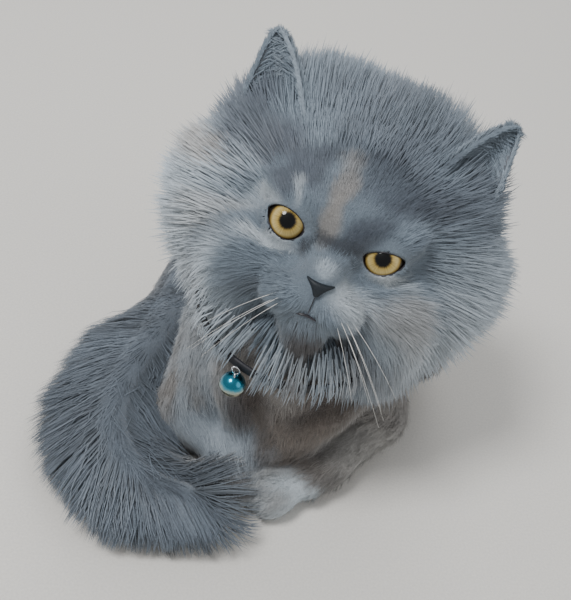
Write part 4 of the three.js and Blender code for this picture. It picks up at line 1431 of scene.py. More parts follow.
@dataclass
class Skin:
    """The skin of the whole cat as one closed mesh, and what the coat needs to know of it."""

    points: np.ndarray
    quads: np.ndarray

    @classmethod
    def grown(cls) -> "Skin":
        """Meshes the skin, finest at the face and the forepaws.

        Returns:
            The skin.
        """
        wide = 2.5
        fine = 1.15
        xs = graded(-124, 124, -46, 46, fine, wide)
        ys = graded(-136, 162, -118, -50, fine, wide)
        zs = graded(-4, 236, 128, 212, fine, wide)
        points, quads = surface(ANATOMY.skin, xs, ys, zs)
        return cls(points, quads)

    def piece(self) -> bpy.types.Object:
        """Makes the object of the skin.

        Returns:
            The object.
        """
        corners = self.points[self.quads]
        across = np.cross(corners[:, 2] - corners[:, 0], corners[:, 3] - corners[:, 1])
        sides = np.repeat(unit(across), 4, axis=0)
        uv = unwrap(self.points[self.quads.ravel()], sides)
        return add_mesh(
            "cat_skin", self.points, np.full(len(self.quads), 4), self.quads.ravel(),
            coat_colour(self.points), uv,
        )

    def scatter(self, count: int, part: Coat, seed: int) -> tuple[np.ndarray, np.ndarray]:
        """Draws places for hair roots, even over one part of the skin.

        Args:
            count: How many.
            part: Which part.
            seed: Seed for the draw.

        Returns:
            The places and the outward directions there.
        """
        a, b, c, d = (self.points[self.quads[:, n]] for n in range(4))
        tris = np.stack([np.stack([a, b, c], 1), np.stack([a, c, d], 1)], 1).reshape(-1, 3, 3)
        area = np.linalg.norm(np.cross(tris[:, 1] - tris[:, 0], tris[:, 2] - tris[:, 0]), axis=1)
        middle = tris.mean(1)
        weight = area * self.share(middle, part)
        source = np.random.default_rng(seed)
        picked = source.choice(len(tris), count, p=weight / weight.sum())
        r1 = np.sqrt(source.random(count))[:, None]
        r2 = source.random(count)[:, None]
        t = tris[picked]
        roots = (1 - r1) * t[:, 0] + r1 * (1 - r2) * t[:, 1] + r1 * r2 * t[:, 2]
        return roots, slope(ANATOMY.skin, roots, 0.8)

    @staticmethod
    def share(p: np.ndarray, part: Coat) -> np.ndarray:
        """Returns how densely one part of the coat grows at places on the skin.

        Args:
            p: Places in the cat's frame.
            part: The part of the coat.

        Returns:
            The shares, from 0 to 1.
        """
        q = HEAD.into(p)
        head = ANATOMY.head(p)
        tail = ANATOMY.tail(p)
        body = ANATOMY.body(p) + BODY_COAT_DEPTH
        on_head = (head < 1.2) & (head < tail + 1)
        on_tail = (tail < 1.2) & ~on_head
        polar = head_angle(q)[0]
        on_neck = ~on_head & ~on_tail & (body < 3) & (above_collar(p) > 8) & (p[:, 1] < -10)
        if part in (Coat.FACE, Coat.RUFF):
            bare = (NOSE(q) < 0.9) | (ANATOMY.from_mouth(q) < 0.9)
            for side in Side:
                eye = Eye(side)
                d = eye.local(q)
                bare |= (eye.almond(d) < 0.9) & (d[:, 2] > 0)
            face = 1 - ramp(polar, 48, 62)
            grown = face if part is Coat.FACE else 1 - face
            grown = np.where(on_head & ~bare, grown, 0.0)
            return grown + (2.5 * on_neck if part is Coat.RUFF else 0)
        if part is Coat.TAIL:
            return np.where(on_tail & (p[:, 2] > 4), np.where(p[:, 2] > 14, 1.0, 0.4), 0.0)
        hidden = (p[:, 2] < 1.5) | (soften(ANATOMY.skull(q), ANATOMY.ruff(q), 6) < -6)
        return np.where(~on_head & ~on_tail & ~on_neck & ~hidden & (body < 3), 1.0, 0.0)


def head_angle(q: np.ndarray) -> tuple[np.ndarray, np.ndarray]:
    """Returns the angle from straight ahead and the angle round the face from the crown."""
    out = unit(q - RUFF_CENTRE)
    return np.degrees(np.arccos(np.clip(-out[:, 1], -1, 1))), np.arctan2(out[:, 0], out[:, 2])


def nose_outline(q: np.ndarray) -> np.ndarray:
    """Returns how far places are outside the nose's outline, seen from the front.

    Args:
        q: Places in the head's frame.

    Returns:
        The distances, negative inside.
    """
    across = np.abs(q[:, 0])
    up = q[:, 2] - NOSE_CENTRE[2]
    top = up - NOSE_TOP + NOSE_DIP * (1 - (across / NOSE_HALF_WIDTH) ** 2)
    run, rise = NOSE_HALF_WIDTH - 1.2, NOSE_TOP - NOSE_BOTTOM
    slant = ((across - 1.2) * rise - (up - NOSE_BOTTOM) * run) / math.hypot(run, rise)
    share = np.clip((up - NOSE_BOTTOM) / rise, 0, 1)
    slant = slant + 3.6 * share * (1 - share)
    return -soften(soften(-top, -slant, 1.6), up - NOSE_BOTTOM, 1.2)


def nose_form(q: np.ndarray) -> np.ndarray:
    """Returns the field of the nose leather before its nostrils, a domed wedge.

    Args:
        q: Places in the head's frame.

    Returns:
        The distances, negative inside.
    """
    front = NOSE_CENTRE[1] - 1.3 + 0.04 * q[:, 0] ** 2
    slab = np.abs(q[:, 1] - front - 4) - 4
    return -soften(-nose_outline(q), -slab, 2.2)


NOSE = hollowed(
    0.9, nose_form,
    *both(lambda s: limb((3.2 * s, -58.6, -18.4), (5.6 * s, -57.0, -17.2), 0.7, 0.5)),
    limb((0, -58.9, -18.6), (0, -58.2, -23.0), 0.4, 0.4),
)


# Hair.


@dataclass
class Hair:
    """Strands that grow from roots on the skin.

    Each is drawn 0.3 to 1 mm wide and stands for a small lock: one real hair of 0.05 mm is too fine to show.
    """

    roots: np.ndarray
    normals: np.ndarray
    lie: np.ndarray
    length: np.ndarray
    width: np.ndarray
    rise: float | np.ndarray
    rings: int
    clump: float = 0.0
    guide_count: int = 0
    seed: int = 1
    clear_of: Field | None = None
    clearance: float = 1.0
    tip_tone: float = 1.12
    root_tone: float = 0.72
    tone_spread: float = 0.05
    clump_spread: float = 0.06

    def spine(self) -> tuple[np.ndarray, np.ndarray]:
        """Returns the middle of each strand at each ring and at its tip, and its lock's tone.

        Returns:
            The places by strand and ring, and the tones.
        """
        t = np.append(np.linspace(0, SHOULDER, self.rings), 1.0)[None, :, None]
        reach = self.length[:, None]
        a = (self.roots - 0.8 * self.normals)[:, None]
        b = (self.roots + self.rise * self.normals + 0.4 * reach * self.lie)[:, None]
        c = (self.roots + reach * self.lie)[:, None]
        line = (1 - t) ** 2 * a + 2 * t * (1 - t) * b + t ** 2 * c
        line, tone = self._gathered(line, t)
        if self.clear_of is not None:
            line = self._cleared(line)
        return line, tone

    def _gathered(self, line: np.ndarray, t: np.ndarray) -> tuple[np.ndarray, np.ndarray]:
        """Draws strands towards the guide that is nearest to their roots, more so at the tips.

        Args:
            line: Places by strand and ring.
            t: Share of the length at each ring.

        Returns:
            The drawn places, and the tones of the locks.
        """
        source = np.random.default_rng(self.seed)
        guides = source.choice(len(line), self.guide_count, replace=False)
        tree = kdtree.KDTree(len(guides))
        for i, g in enumerate(guides):
            tree.insert(self.roots[g], i)
        tree.balance()
        found = np.array([tree.find(r)[1] for r in self.roots])
        mine = guides[found]
        gap = np.linalg.norm(self.roots - self.roots[mine], axis=1)
        pull = self.clump * np.clip(1.25 - gap / np.percentile(gap, 95), 0.3, 1)
        pull = pull * source.uniform(0.6, 1.0, len(line))
        share = pull[:, None, None] * t ** 1.4
        fitted = line[mine] - self.roots[mine][:, None] + self.roots[:, None]
        leaned = line[mine] + 0.3 * (fitted - line[mine])
        tone = 1 + self.clump_spread * source.normal(size=self.guide_count)[found]
        return line * (1 - share) + leaned * share, tone

    def _cleared(self, line: np.ndarray) -> np.ndarray:
        """Lifts the strands out of what they would pass through.

        Args:
            line: Places by strand and ring.

        Returns:
            The lifted places.
        """
        for ring in range(1, line.shape[1]):
            p = line[:, ring]
            for _ in range(2):
                d = self.clear_of(p)
                deep = d < self.clearance
                if not deep.any():
                    break
                q = p[deep]
                p[deep] = q + (self.clearance - d[deep])[:, None] * slope(self.clear_of, q, 0.8)
            line[:, ring] = p
        return line

    def piece(self, name: str, keep: Callable[[np.ndarray], np.ndarray] | None = None) -> bpy.types.Object:
        """Makes the strands as closed three-sided spikes in one object.

        Args:
            name: Its name.
            keep: Says which strands stay, from their middles.

        Returns:
            The object.
        """
        line, clump_tone = self.spine()
        kept = np.ones(len(line), bool) if keep is None else keep(line)
        line, clump_tone = line[kept], clump_tone[kept]
        roots, normals, width = self.roots[kept], self.normals[kept], self.width[kept]
        line = kept_in_box(line)
        count, rings = len(line), self.rings
        along = unit(line[:, 1:] - line[:, :-1])
        across = unit(np.cross(along, normals[:, None]))
        over = np.cross(across, along)
        shares = np.interp(np.linspace(0, SHOULDER, rings), (0, 0.35, SHOULDER), (0.8, 1.0, 0.55))
        half = 0.5 * width[:, None, None] * shares[None, :, None]
        middle = line[:, :rings]
        left = middle - half * across[:, :rings]
        right = middle + half * across[:, :rings]
        ridge = middle + 0.6 * half * over[:, :rings]
        body = np.stack([left, right, ridge], 2).reshape(count, rings * 3, 3)
        points = np.concatenate([body, line[:, -1:]], 1)
        face = 0.75 * normals[:, None] + 0.5 * over
        lean = 0.3 * across
        faces_of_ring = np.stack([face - lean, face + lean, face], 2)[:, :rings]
        facing = np.concatenate([faces_of_ring.reshape(count, rings * 3, 3), face[:, -1:]], 1)
        each = rings * 3 + 1
        faces = [(0, 1, 2)]
        for r in range(rings - 1):
            for a in range(3):
                b = (a + 1) % 3
                faces.append((3 * r + b, 3 * r + a, 3 * r + 3 + a, 3 * r + 3 + b))
        last = 3 * (rings - 1)
        faces += [(last + (a + 1) % 3, last + a, each - 1) for a in range(3)]
        sizes = np.tile([len(f) for f in faces], count)
        corner = np.array([n for f in faces for n in f])
        loops = (corner[None] + each * np.arange(count)[:, None]).ravel()
        t = np.append(np.repeat(np.linspace(0, SHOULDER, rings), 3), 1.0)
        source = np.random.default_rng(self.seed + 50)
        tone = clump_tone[:, None] * (1 + self.tone_spread * source.normal(size=(count, 1)))
        # Each strand is darker towards its root: painted shade deep in the coat.
        shade = np.interp(t, (0, 0.5, 1), (self.root_tone, 0.97, self.tip_tone))[None] * tone
        colour = coat_colour(roots)[:, None] * shade[..., None]
        side = np.append(np.tile([0.0, 1.0, 0.5], rings), 0.5)
        patch = (np.stack([side, t], 1) - 0.5) * PATCH_WIDTH
        uv = unwrap(roots, normals)[:, None] + patch[corner][None]
        return add_mesh(
            name, points.reshape(-1, 3), sizes, loops, np.clip(colour.reshape(-1, 3), 0, 1),
            uv.reshape(-1, 2), facing=unit(facing.reshape(-1, 3)),
        )


def kept_in_box(line: np.ndarray) -> np.ndarray:
    """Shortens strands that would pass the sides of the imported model, each by its own amount.

    Args:
        line: The middles of the strands.

    Returns:
        The new middles.
    """
    low, high = (np.array(c) * 1000 - SHIFT for c in CAD_BOX)
    run = line - line[:, :1]
    moves = np.abs(run) > 1e-6
    wall = np.where(run > 0, high, low) + np.sign(run) * BOX_MARGIN
    room = (wall - line[:, :1]) / np.where(moves, run, 1e-6)
    room = np.where(moves, room, 9)[..., :2].min(axis=(1, 2))
    uneven = 0.86 + 0.14 * np.sin(np.arange(len(line)) * 12.9) ** 2
    line = line[:, :1] + run * np.where(room < 1, room * uneven, 1)[:, None, None]
    line = np.clip(line, low - BOX_MARGIN, high + BOX_MARGIN)
    line[..., 2] = np.maximum(line[..., 2], FLOOR_GAP)
    return line


def jitter(v: np.ndarray, amount: float | np.ndarray, source: np.random.Generator) -> np.ndarray:
    """Turns directions a little, each its own way."""
    return unit(v + amount * source.normal(size=v.shape))


def lifted(lie: np.ndarray, normals: np.ndarray, lift: np.ndarray) -> np.ndarray:
    """Lays directions along a surface and raises them by angles in degrees.

    Args:
        lie: Directions.
        normals: The surface's normals.
        lift: Angles in degrees.

    Returns:
        The raised directions.
    """
    flat = unit(lie - (lie * normals).sum(1)[:, None] * normals)
    angle = np.radians(lift)[:, None]
    return unit(flat * np.cos(angle) + normals * np.sin(angle))


DOWN_ON_HEAD = HEAD.aim_into(np.array([0.0, 0.0, -1.0]))
HANG_ON_HEAD = HEAD.aim_into(unit(np.array([0.0, -0.6, -1.0])))
UP_ON_HEAD = unit(np.array([0.0, 0.1, 1.0]))


def collar_band(p: np.ndarray) -> np.ndarray:
    """Returns the distance outside the strap of the collar, which hair passes over.

    Args:
        p: Places in the cat's frame.

    Returns:
        The distances, negative inside.
    """
    height, reach, aside = from_strap(p)
    radial = np.linalg.norm(aside, axis=1)
    return np.hypot(radial - reach - COLLAR_WALL / 2, height * 0.45) - 2.4


def over_collar(p: np.ndarray) -> np.ndarray:
    """Returns the field that the long hair of the head stays out of."""
    return np.minimum(ANATOMY.skin(p), collar_band(p))


@dataclass
class HeadCoat:
    """The hair of the face and the ruff, and how much of it there is."""

    skin: Skin
    face_count: int = 44000
    ruff_count: int = 11600
    ruff_pieces: int = 4
    over_strap: float = 0.62
    highest_root: float = 22.0
    lowest_root: float = 4.5

    def build(self, materials: Materials, thin: float) -> None:
        """Grows the face's hair in one piece and the ruff's in several, each from its own seed.

        Args:
            materials: What the hair is made of.
            thin: Share of the hair to grow.
        """
        face = self.strands(Coat.FACE, int(self.face_count * thin), 101)
        finish_piece(face.piece("coat_face", self.keep), materials.short_fur, "long_coat")
        for n in range(self.ruff_pieces):
            hair = self.strands(Coat.RUFF, int(self.ruff_count * thin), 110 + n)
            finish_piece(hair.piece(f"coat_ruff_{n + 1}", self.keep), materials.fur, "long_coat")

    @staticmethod
    def lie(q: np.ndarray, n: np.ndarray) -> np.ndarray:
        """Returns the lie of the hair in the head's frame: away from the nose, round the eyes.

        Args:
            q: Places in the head's frame.
            n: The skin's normals there.

        Returns:
            The directions.
        """
        polar, _ = head_angle(q)
        lie = unit(q - (NOSE_CENTRE + np.array([0, 6, 0])))
        lie = lie + DOWN_ON_HEAD * (0.35 * ramp(polar, 30, 60))[:, None]
        for side in Side:
            eye = Eye(side)
            d = eye.local(q)
            far = np.maximum(eye.almond(d), 0)
            d[:, 2] = 0
            share = np.exp(-(np.maximum(far - 1, 0) / 5) ** 2)[:, None]
            lie = lie * (1 - share) + unit(d @ eye.axes) * share
        return unit(lie - (lie * n).sum(1)[:, None] * n)

    @staticmethod
    def length(q: np.ndarray) -> np.ndarray:
        """Returns the length of the hair at places in the head's frame.

        Args:
            q: Places in the head's frame.

        Returns:
            The lengths.
        """
        polar, round_face = head_angle(q)
        up = np.cos(round_face)
        reach = np.interp(
            polar, (8, 18, 28, 40, 52, 64, 80, 100, 120, 147, 175),
            (3.5, 7, 10, 17, 28, 38, 46, 49, 48, 44, 40),
        )
        forehead = np.interp(polar, (20, 34, 48, 62, 75), (3.5, 6, 9, 15, 22))
        to_top = np.clip((88 - q[:, 2]) / 0.8, 16, 50)
        crown = ramp(up, 0.45, 0.75)
        over = ramp(polar, 62, 84)
        reach = reach * (1 - crown) + (forehead * (1 - over) + to_top * over) * crown
        by_ear = np.exp(-((up - 0.36) / 0.16) ** 2) * ramp(polar, 50, 64)
        reach = reach * (1 - 0.35 * by_ear)
        chin = np.interp(-q[:, 2], (30, 36, 42, 48, 54), (5, 8, 16, 30, 44))
        front = (q[:, 1] < 0) & (np.abs(q[:, 0]) < 26) & (q[:, 2] < -34)
        reach = np.where(front, chin, reach)
        for side in Side:
            far = Eye(side).almond(Eye(side).local(q))
            reach = np.minimum(reach, np.interp(far, (0.5, 3, 7, 13, 20), (1.6, 3.4, 8, 16, 40)))
        near_lips = np.abs(q[:, 0]) < 6
        lips = np.interp(ANATOMY.from_mouth(q), (0, 4, 8), (1.8, 4.5, 60))
        reach = np.where(near_lips, np.minimum(reach, lips), reach)
        return np.minimum(reach, np.interp(NOSE(q), (0, 3, 8, 12), (1.4, 3.0, 8, 60)))

    def strands(self, part: Coat, count: int, seed: int) -> Hair:
        """Makes the strands of the face or of a share of the ruff.

        Args:
            part: The part of the coat.
            count: How many strands.
            seed: Seed of the chance in them.

        Returns:
            The strands.
        """
        source = np.random.default_rng(seed)
        roots, normals = self.skin.scatter(count, part, seed)
        q, n = HEAD.into(roots), HEAD.aim_into(normals)
        polar, round_face = head_angle(q)
        up = np.cos(round_face)
        lie = self.lie(q, n)
        length = self.length(q) * source.uniform(0.78, 1.05, count)
        stray = source.random(count) < 0.04
        length = np.where(stray & (length > 14), length * 1.18, length)
        lift = np.interp(polar, (10, 30, 50, 76, 97, 120, 150), (14, 15, 20, 32, 38, 32, 24))
        lift = lift + 10 * np.abs(np.sin(round_face)) * ramp(polar, 45, 75)
        way = lifted(lie, n, lift * source.uniform(0.75, 1.2, count))
        crown = (0.72 * ramp(up, 0.4, 0.75) * ramp(polar, 58, 84))[:, None]
        way = unit(way * (1 - crown) + UP_ON_HEAD * crown)
        throat = np.maximum(
            ramp(-up, 0.3, 0.75) * ramp(polar, 38, 58), ramp(-q[:, 2], 33, 41) * (q[:, 1] < 10))
        share = (0.78 * throat)[:, None]
        way = unit(way * (1 - share) + HANG_ON_HEAD * share)
        face = part is Coat.FACE
        way = HEAD.aim_out(way)
        bib = (ANATOMY.head(roots) > 1.2) & ~np.full(count, face)
        roots[bib], run, normals[bib] = self.throat(roots[bib], source)
        length[bib] = np.linalg.norm(run, axis=1)
        way[bib] = unit(run)
        way = jitter(way, np.where(bib, 0.07, 0.14 if face else 0.10)[:, None], source)
        width = np.interp(length, (3, 12, 45), (0.46, 0.66, 0.84)) * source.uniform(0.8, 1.2, count)
        return Hair(
            roots, normals, way, length, width,
            rise=1.0 if face else np.where(bib, 4.0, 5.0)[:, None], rings=1 if face else 3,
            clump=0.42 if face else 0.5, guide_count=count // (22 if face else 52), seed=seed,
            clear_of=None if face else over_collar, clearance=0.6,
            root_tone=0.88 if face else 0.82, tip_tone=1.1 if face else 1.2, clump_spread=0.07,
        )

    def throat(
        self, roots: np.ndarray, source: np.random.Generator,
    ) -> tuple[np.ndarray, np.ndarray, np.ndarray]:
        """Lays the hair of the throat: some ends behind the strap, and some falls over it.

        Args:
            roots: Places on the neck.
            source: Where the random numbers come from.

        Returns:
            The roots, the ways from them to the tips, and the ways outwards.
        """
        count = len(roots)
        over = source.random(count) < self.over_strap
        _, reach, aside = from_strap(roots)
        angle = source.uniform(-1.9, 1.9, count)
        outward = np.where(over[:, None], round_collar(angle), unit(aside))
        reach = np.where(over, np.interp(angle, STRAP_ANGLES, STRAP_REACH), reach)[:, None]
        span = self.highest_root - self.lowest_root
        up = self.lowest_root + span * source.random(count)[:, None] ** 1.3
        share = (up - self.lowest_root) / span
        behind = COLLAR_CENTRE + outward * (reach - 1) + COLLAR_UP * source.uniform(0, 8, count)[:, None]
        face = COLLAR_CENTRE + outward * (reach + COLLAR_WALL)
        drop = 1 + 15 * source.random(count)[:, None] ** 1.5
        proud = source.uniform(2.5, 6.0, count)[:, None]
        laid = face + outward * (0.5 - 14 * share) + COLLAR_UP * up
        tips = np.where(over[:, None], face + outward * proud - COLLAR_UP * drop, behind)
        roots = np.where(over[:, None], laid, roots)
        return roots, tips - roots, unit(outward + np.array([0, 0, 0.35]))

    @staticmethod
    def keep(line: np.ndarray) -> np.ndarray:
        """Keeps strands that don't cross an eye, the nose or the bell.

        Args:
            line: Places by strand and ring.

        Returns:
            Whether each strand stays.
        """
        kept = np.ones(len(line), bool)
        to_view = unit(CAMERA_PLACE - BELL_CENTRE)
        for ring in range(1, line.shape[1]):
            p = line[:, ring]
            q = HEAD.into(p)
            for side in Side:
                eye = Eye(side)
                d = eye.local(q)
                kept &= ~((eye.almond(d) < 0.1) & (d[:, 2] > 0))
            kept &= ~((nose_outline(q) < 0.3) & (q[:, 1] < -46))
            ahead = p - BELL_CENTRE
            far = ahead @ to_view
            aside = np.linalg.norm(ahead - far[:, None] * to_view, axis=1)
            kept &= ~((far > -BELL_RADIUS) & (aside < BELL_RADIUS + 1.0))
        return kept


@dataclass
class TailCoat:
    """The long hair of the tail, which falls from its parting over the floor and the thigh."""

    skin: Skin
    count: int = 12400
    pieces: int = 2

    def build(self, materials: Materials, thin: float) -> None:
        """Grows the hair in several pieces, each from its own seed.

        Args:
            materials: What the hair is made of.
            thin: Share of the hair to grow.
        """
        for n in range(self.pieces):
            hair = self.strands(int(self.count * thin), 120 + n)
            finish_piece(hair.piece(f"coat_tail_{n + 1}"), materials.fur, "tail_coat")

    @staticmethod
    def length(t: np.ndarray, angle: np.ndarray) -> np.ndarray:
        """Returns the length of the hair.

        Args:
            t: Share of the way along the tail.
            angle: Angle round the tail in degrees, from its outer side over the top.

        Returns:
            Lengths in millimetres.
        """
        reach = np.interp(angle, (-60, -12, 32, 82, 140, 180), (32, 44, 50, 55, 48, 40))
        share = np.interp(t, (0.28, 0.4, 0.47, 0.54, 0.74), (0.3, 0.36, 0.62, 0.95, 1.0))
        at_tip = np.interp(angle, (-12, 82), (0.66, 0.95))
        return reach * (share + (at_tip - 1) * ramp(t, 0.74, 0.9))

    def strands(self, count: int, seed: int) -> Hair:
        """Makes a share of the strands.

        Args:
            count: How many strands.
            seed: Seed of the chance in them.

        Returns:
            The strands.
        """
        source = np.random.default_rng(seed)
        roots, normals = self.skin.scatter(count, Coat.TAIL, seed)
        nearest = np.linalg.norm(roots[:, None] - TAIL_LINE[None], axis=2).argmin(1)
        t = nearest / (len(TAIL_LINE) - 1)
        forward = unit(np.gradient(TAIL_LINE, axis=0)[nearest])
        up = np.array([0.0, 0.0, 1.0])
        outer = unit(np.cross(forward, up))
        out = unit(roots - TAIL_LINE[nearest])
        angle = np.degrees(np.arctan2(out[:, 2], (out * outer).sum(1)))
        along = np.interp(angle, (-12, 32, 82, 140), (0.5, 0.55, 0.65, 0.9))
        along = along * np.interp(t, (0.35, 0.5, 0.66, 0.85), (0.1, 0.3, 0.65, 0.95))
        length = self.length(t, angle) * source.uniform(0.8, 1.08, count)
        side = np.where(angle < 108, 1.0, -0.7)[:, None]
        flat = out * np.array([1, 1, 0.3])
        lie = unit(flat + 0.45 * side * outer + forward * along[:, None])
        lowest = 2 + 8 * source.random(count) + 8 * ramp(np.abs(angle), 60, 150)
        lie[:, 2] = np.maximum(lie[:, 2], 0) * 0.5 + (lowest - roots[:, 2]) / length
        # The tail's dark roots are painted shade in the gaps between its locks.
        return Hair(
            roots, normals, jitter(lie, 0.06, source), length,
            width=source.uniform(0.45, 0.8, count), rise=6.0, rings=3,
            clump=0.88, guide_count=count // 64, seed=seed,
            clear_of=ANATOMY.skin, clearance=0.8, root_tone=0.42, tip_tone=1.15, clump_spread=0.12,
        )


# Lie of the clipped coat: both ends of a line in the body and the way that the hair points there.
FLOW = (
    ((4, -10, 150), (14, 22, 128), (0, 1, -0.4)),
    ((14, 22, 128), (30, 90, 120), (0, 1, -0.1)),
    ((30, 90, 120), (20, 138, 70), (-0.2, 0.6, -0.8)),
    ((90, 70, 80), (60, 130, 60), (0, 0.7, -0.6)),
    ((-40, 30, 90), (-35, 100, 80), (0, 0.8, -0.6)),
    ((0, -80, 120), (-7, -84, 50), (0, -0.2, -1)),
    ((-7, -80, 50), (-5, -60, 20), (0, 0.5, -1)),
    ((60, -34, 88), (76, -40, 30), (0.1, -0.1, -1)),
    ((-60, -36, 88), (-70, -46, 30), (-0.1, -0.1, -1)),
    ((62, -50, 34), (20, -90, 20), (-0.75, -0.6, -0.1)),
    ((16, -90, 20), (-14, -100, 14), (-0.9, -0.4, -0.1)),
    ((-56, -56, 34), (-32, -86, 22), (0.5, -0.8, -0.2)),
    ((-31, -84, 24), (-33, -106, 12), (0, -1, -0.3)),
    ((100, 60, 95), (112, 10, 60), (0.1, -0.5, -0.8)),
    ((110, 30, 30), (90, -20, 16), (-0.1, -1, -0.3)),
    ((70, 110, 25), (76, 30, 18), (0, -1, 0)),
)


@dataclass
class BodyCoat:
    """The clipped coat of the body and legs."""

    skin: Skin
    count: int = 27000
    pieces: int = 2
    shortest: float = 6.0
    longest: float = 10.0

    def build(self, materials: Materials, thin: float) -> None:
        """Grows the hair in several pieces, each from its own seed.

        Args:
            materials: What the hair is made of.
            thin: Share of the hair to grow.
        """
        for n in range(self.pieces):
            hair = self.strands(int(self.count * thin), 130 + n)
            finish_piece(hair.piece(f"coat_body_{n + 1}"), materials.short_fur, "clipped_coat")

    @staticmethod
    def lie(p: np.ndarray) -> np.ndarray:
        """Returns the lie of the coat, blended from the flow along body and legs.

        Args:
            p: Places in the cat's frame.

        Returns:
            The directions.
        """
        total = np.zeros_like(p)
        for a, b, way in FLOW:
            d = limb(a, b, 0, 0)(p)
            total += unit(np.array(way, float))[None] / ((d / 12) ** 4 + 1)[:, None]
        return unit(total)

    def strands(self, count: int, seed: int) -> Hair:
        """Makes a share of the strands.

        Args:
            count: How many strands.
            seed: Seed of the chance in them.

        Returns:
            The strands.
        """
        source = np.random.default_rng(seed)
        roots, normals = self.skin.scatter(count, Coat.BODY, seed)
        way = lifted(self.lie(roots), normals, source.uniform(8, 24, count))
        from_paws = [np.linalg.norm(roots - np.array(FORELEGS[side].paw), axis=1) for side in Side]
        paw = 1 - ramp(np.minimum(*from_paws), 16, 30)
        length = source.uniform(self.shortest, self.longest, count) * (1 - 0.25 * paw)
        return Hair(
            roots, normals, jitter(way, 0.16, source), length,
            width=source.uniform(0.5, 0.9, count), rise=1.2, rings=1, clump=0.62,
            guide_count=count // 26, seed=seed, root_tone=0.68, tip_tone=1.12, clump_spread=0.09,
        )


# Geometry Nodes: one tree that sweeps a round section along lines.


def sweep_tree() -> bpy.types.NodeTree:
    """Makes the tree that gives lines a round body, thinner where their radius is less.

    Returns:
        The tree.
    """
    tree = bpy.data.node_groups.new("sweep_round_section", "GeometryNodeTree")
    face = tree.interface
    face.new_socket("Geometry", in_out="INPUT", socket_type="NodeSocketGeometry")
    face.new_socket("Thickness", in_out="INPUT", socket_type="NodeSocketFloat")
    face.new_socket("Sides", in_out="INPUT", socket_type="NodeSocketInt")
    face.new_socket("Material", in_out="INPUT", socket_type="NodeSocketMaterial")
    face.new_socket("Geometry", in_out="OUTPUT", socket_type="NodeSocketGeometry")
    start = add_node(tree, "NodeGroupInput")
    section = add_node(
        tree, "GeometryNodeCurvePrimitiveCircle",
        {"Resolution": start.outputs["Sides"], "Radius": start.outputs["Thickness"]},
    )
    radius = add_node(tree, "GeometryNodeInputRadius")
    body = add_node(
        tree, "GeometryNodeCurveToMesh",
        {
            "Curve": start.outputs["Geometry"], "Profile Curve": section.outputs[0],
            "Scale": radius.outputs[0], "Fill Caps": True,
        },
    )
    real = add_node(tree, "GeometryNodeRealizeInstances", {0: body.outputs[0]})
    dressed = add_node(
        tree, "GeometryNodeSetMaterial", {0: real.outputs[0], "Material": start.outputs["Material"]},
    )
    smooth = add_node(tree, "GeometryNodeSetShadeSmooth", {0: dressed.outputs[0]})
    end = add_node(tree, "NodeGroupOutput")
    tree.links.new(smooth.outputs[0], end.inputs[0])
    return tree


def swept(
    name: str, lines: Sequence[np.ndarray], radii: Sequence[np.ndarray], sides: int,
    material: bpy.types.Material, closed: bool, tree: bpy.types.NodeTree,
) -> bpy.types.Object:
    """Sweeps a round section along lines with Geometry Nodes and keeps the plain mesh.

    Args:
        name: Name of the piece.
        lines: Places along each line in millimetres.
        radii: Radius at each place in millimetres.
        sides: Sides of the section.
        material: Material of the piece.
        closed: Whether each line closes on itself.
        tree: The sweep tree.

    Returns:
        The object.
    """
    curve = bpy.data.curves.new(name + "_lines", "CURVE")
    curve.dimensions = "3D"
    for line, radius in zip(lines, radii):
        made = curve.splines.new("POLY")
        made.points.add(len(line) - 1)
        flat = np.concatenate([to_metres(line), np.ones((len(line), 1))], 1)
        made.points.foreach_set("co", flat.ravel())
        made.points.foreach_set("radius", np.asarray(radius, float))
        made.use_cyclic_u = closed
    host = bpy.data.objects.new(name + "_host", curve)
    bpy.context.scene.collection.objects.link(host)
    modifier = host.modifiers.new("sweep", "NODES")
    modifier.node_group = tree
    names = {item.name: item.identifier for item in tree.interface.items_tree if item.in_out == "INPUT"}
    modifier[names["Thickness"]] = 0.001
    modifier[names["Sides"]] = sides
    modifier[names["Material"]] = material
    bpy.context.view_layer.update()
    graph = bpy.context.evaluated_depsgraph_get()
    mesh = bpy.data.meshes.new_from_object(host.evaluated_get(graph), depsgraph=graph)
    bpy.data.objects.remove(host)
    mesh.name = name
    piece = bpy.data.objects.new(name, mesh)
    bpy.context.scene.collection.objects.link(piece)
    return piece


# Face pieces.


def globe_faces(rows: int, columns: int) -> tuple[np.ndarray, np.ndarray, np.ndarray]:
    """Joins the points of a globe into faces: a pole, rows of points round it, and the other pole.

    Args:
        rows: Rows of faces from pole to pole.
        columns: Faces round each row.

    Returns:
        The number of corners of each face, the corners, and a map place for each: turn, and way
        from pole to pole.
    """

    def at(r: int, c: int) -> int:
        """Returns the number of a point."""
        return 1 + (r - 1) * columns + c % columns

    last = at(rows, 0)
    sizes, loops, uv = [], [], []
    for c in range(columns):
        u0, u1 = c / columns, (c + 1) / columns
        sizes.append(3)
        loops += [0, at(1, c), at(1, c + 1)]
        uv += [(u0, 0), (u0, 1 / rows), (u1, 1 / rows)]
        for r in range(1, rows - 1):
            sizes.append(4)
            loops += [at(r, c), at(r + 1, c), at(r + 1, c + 1), at(r, c + 1)]
            uv += [(u0, r / rows), (u0, (r + 1) / rows), (u1, (r + 1) / rows), (u1, r / rows)]
        sizes.append(3)
        loops += [at(rows - 1, c), last, at(rows - 1, c + 1)]
        uv += [(u0, 1 - 1 / rows), (u0, 1), (u1, 1 - 1 / rows)]
    return np.array(sizes), np.array(loops), np.array(uv, float)


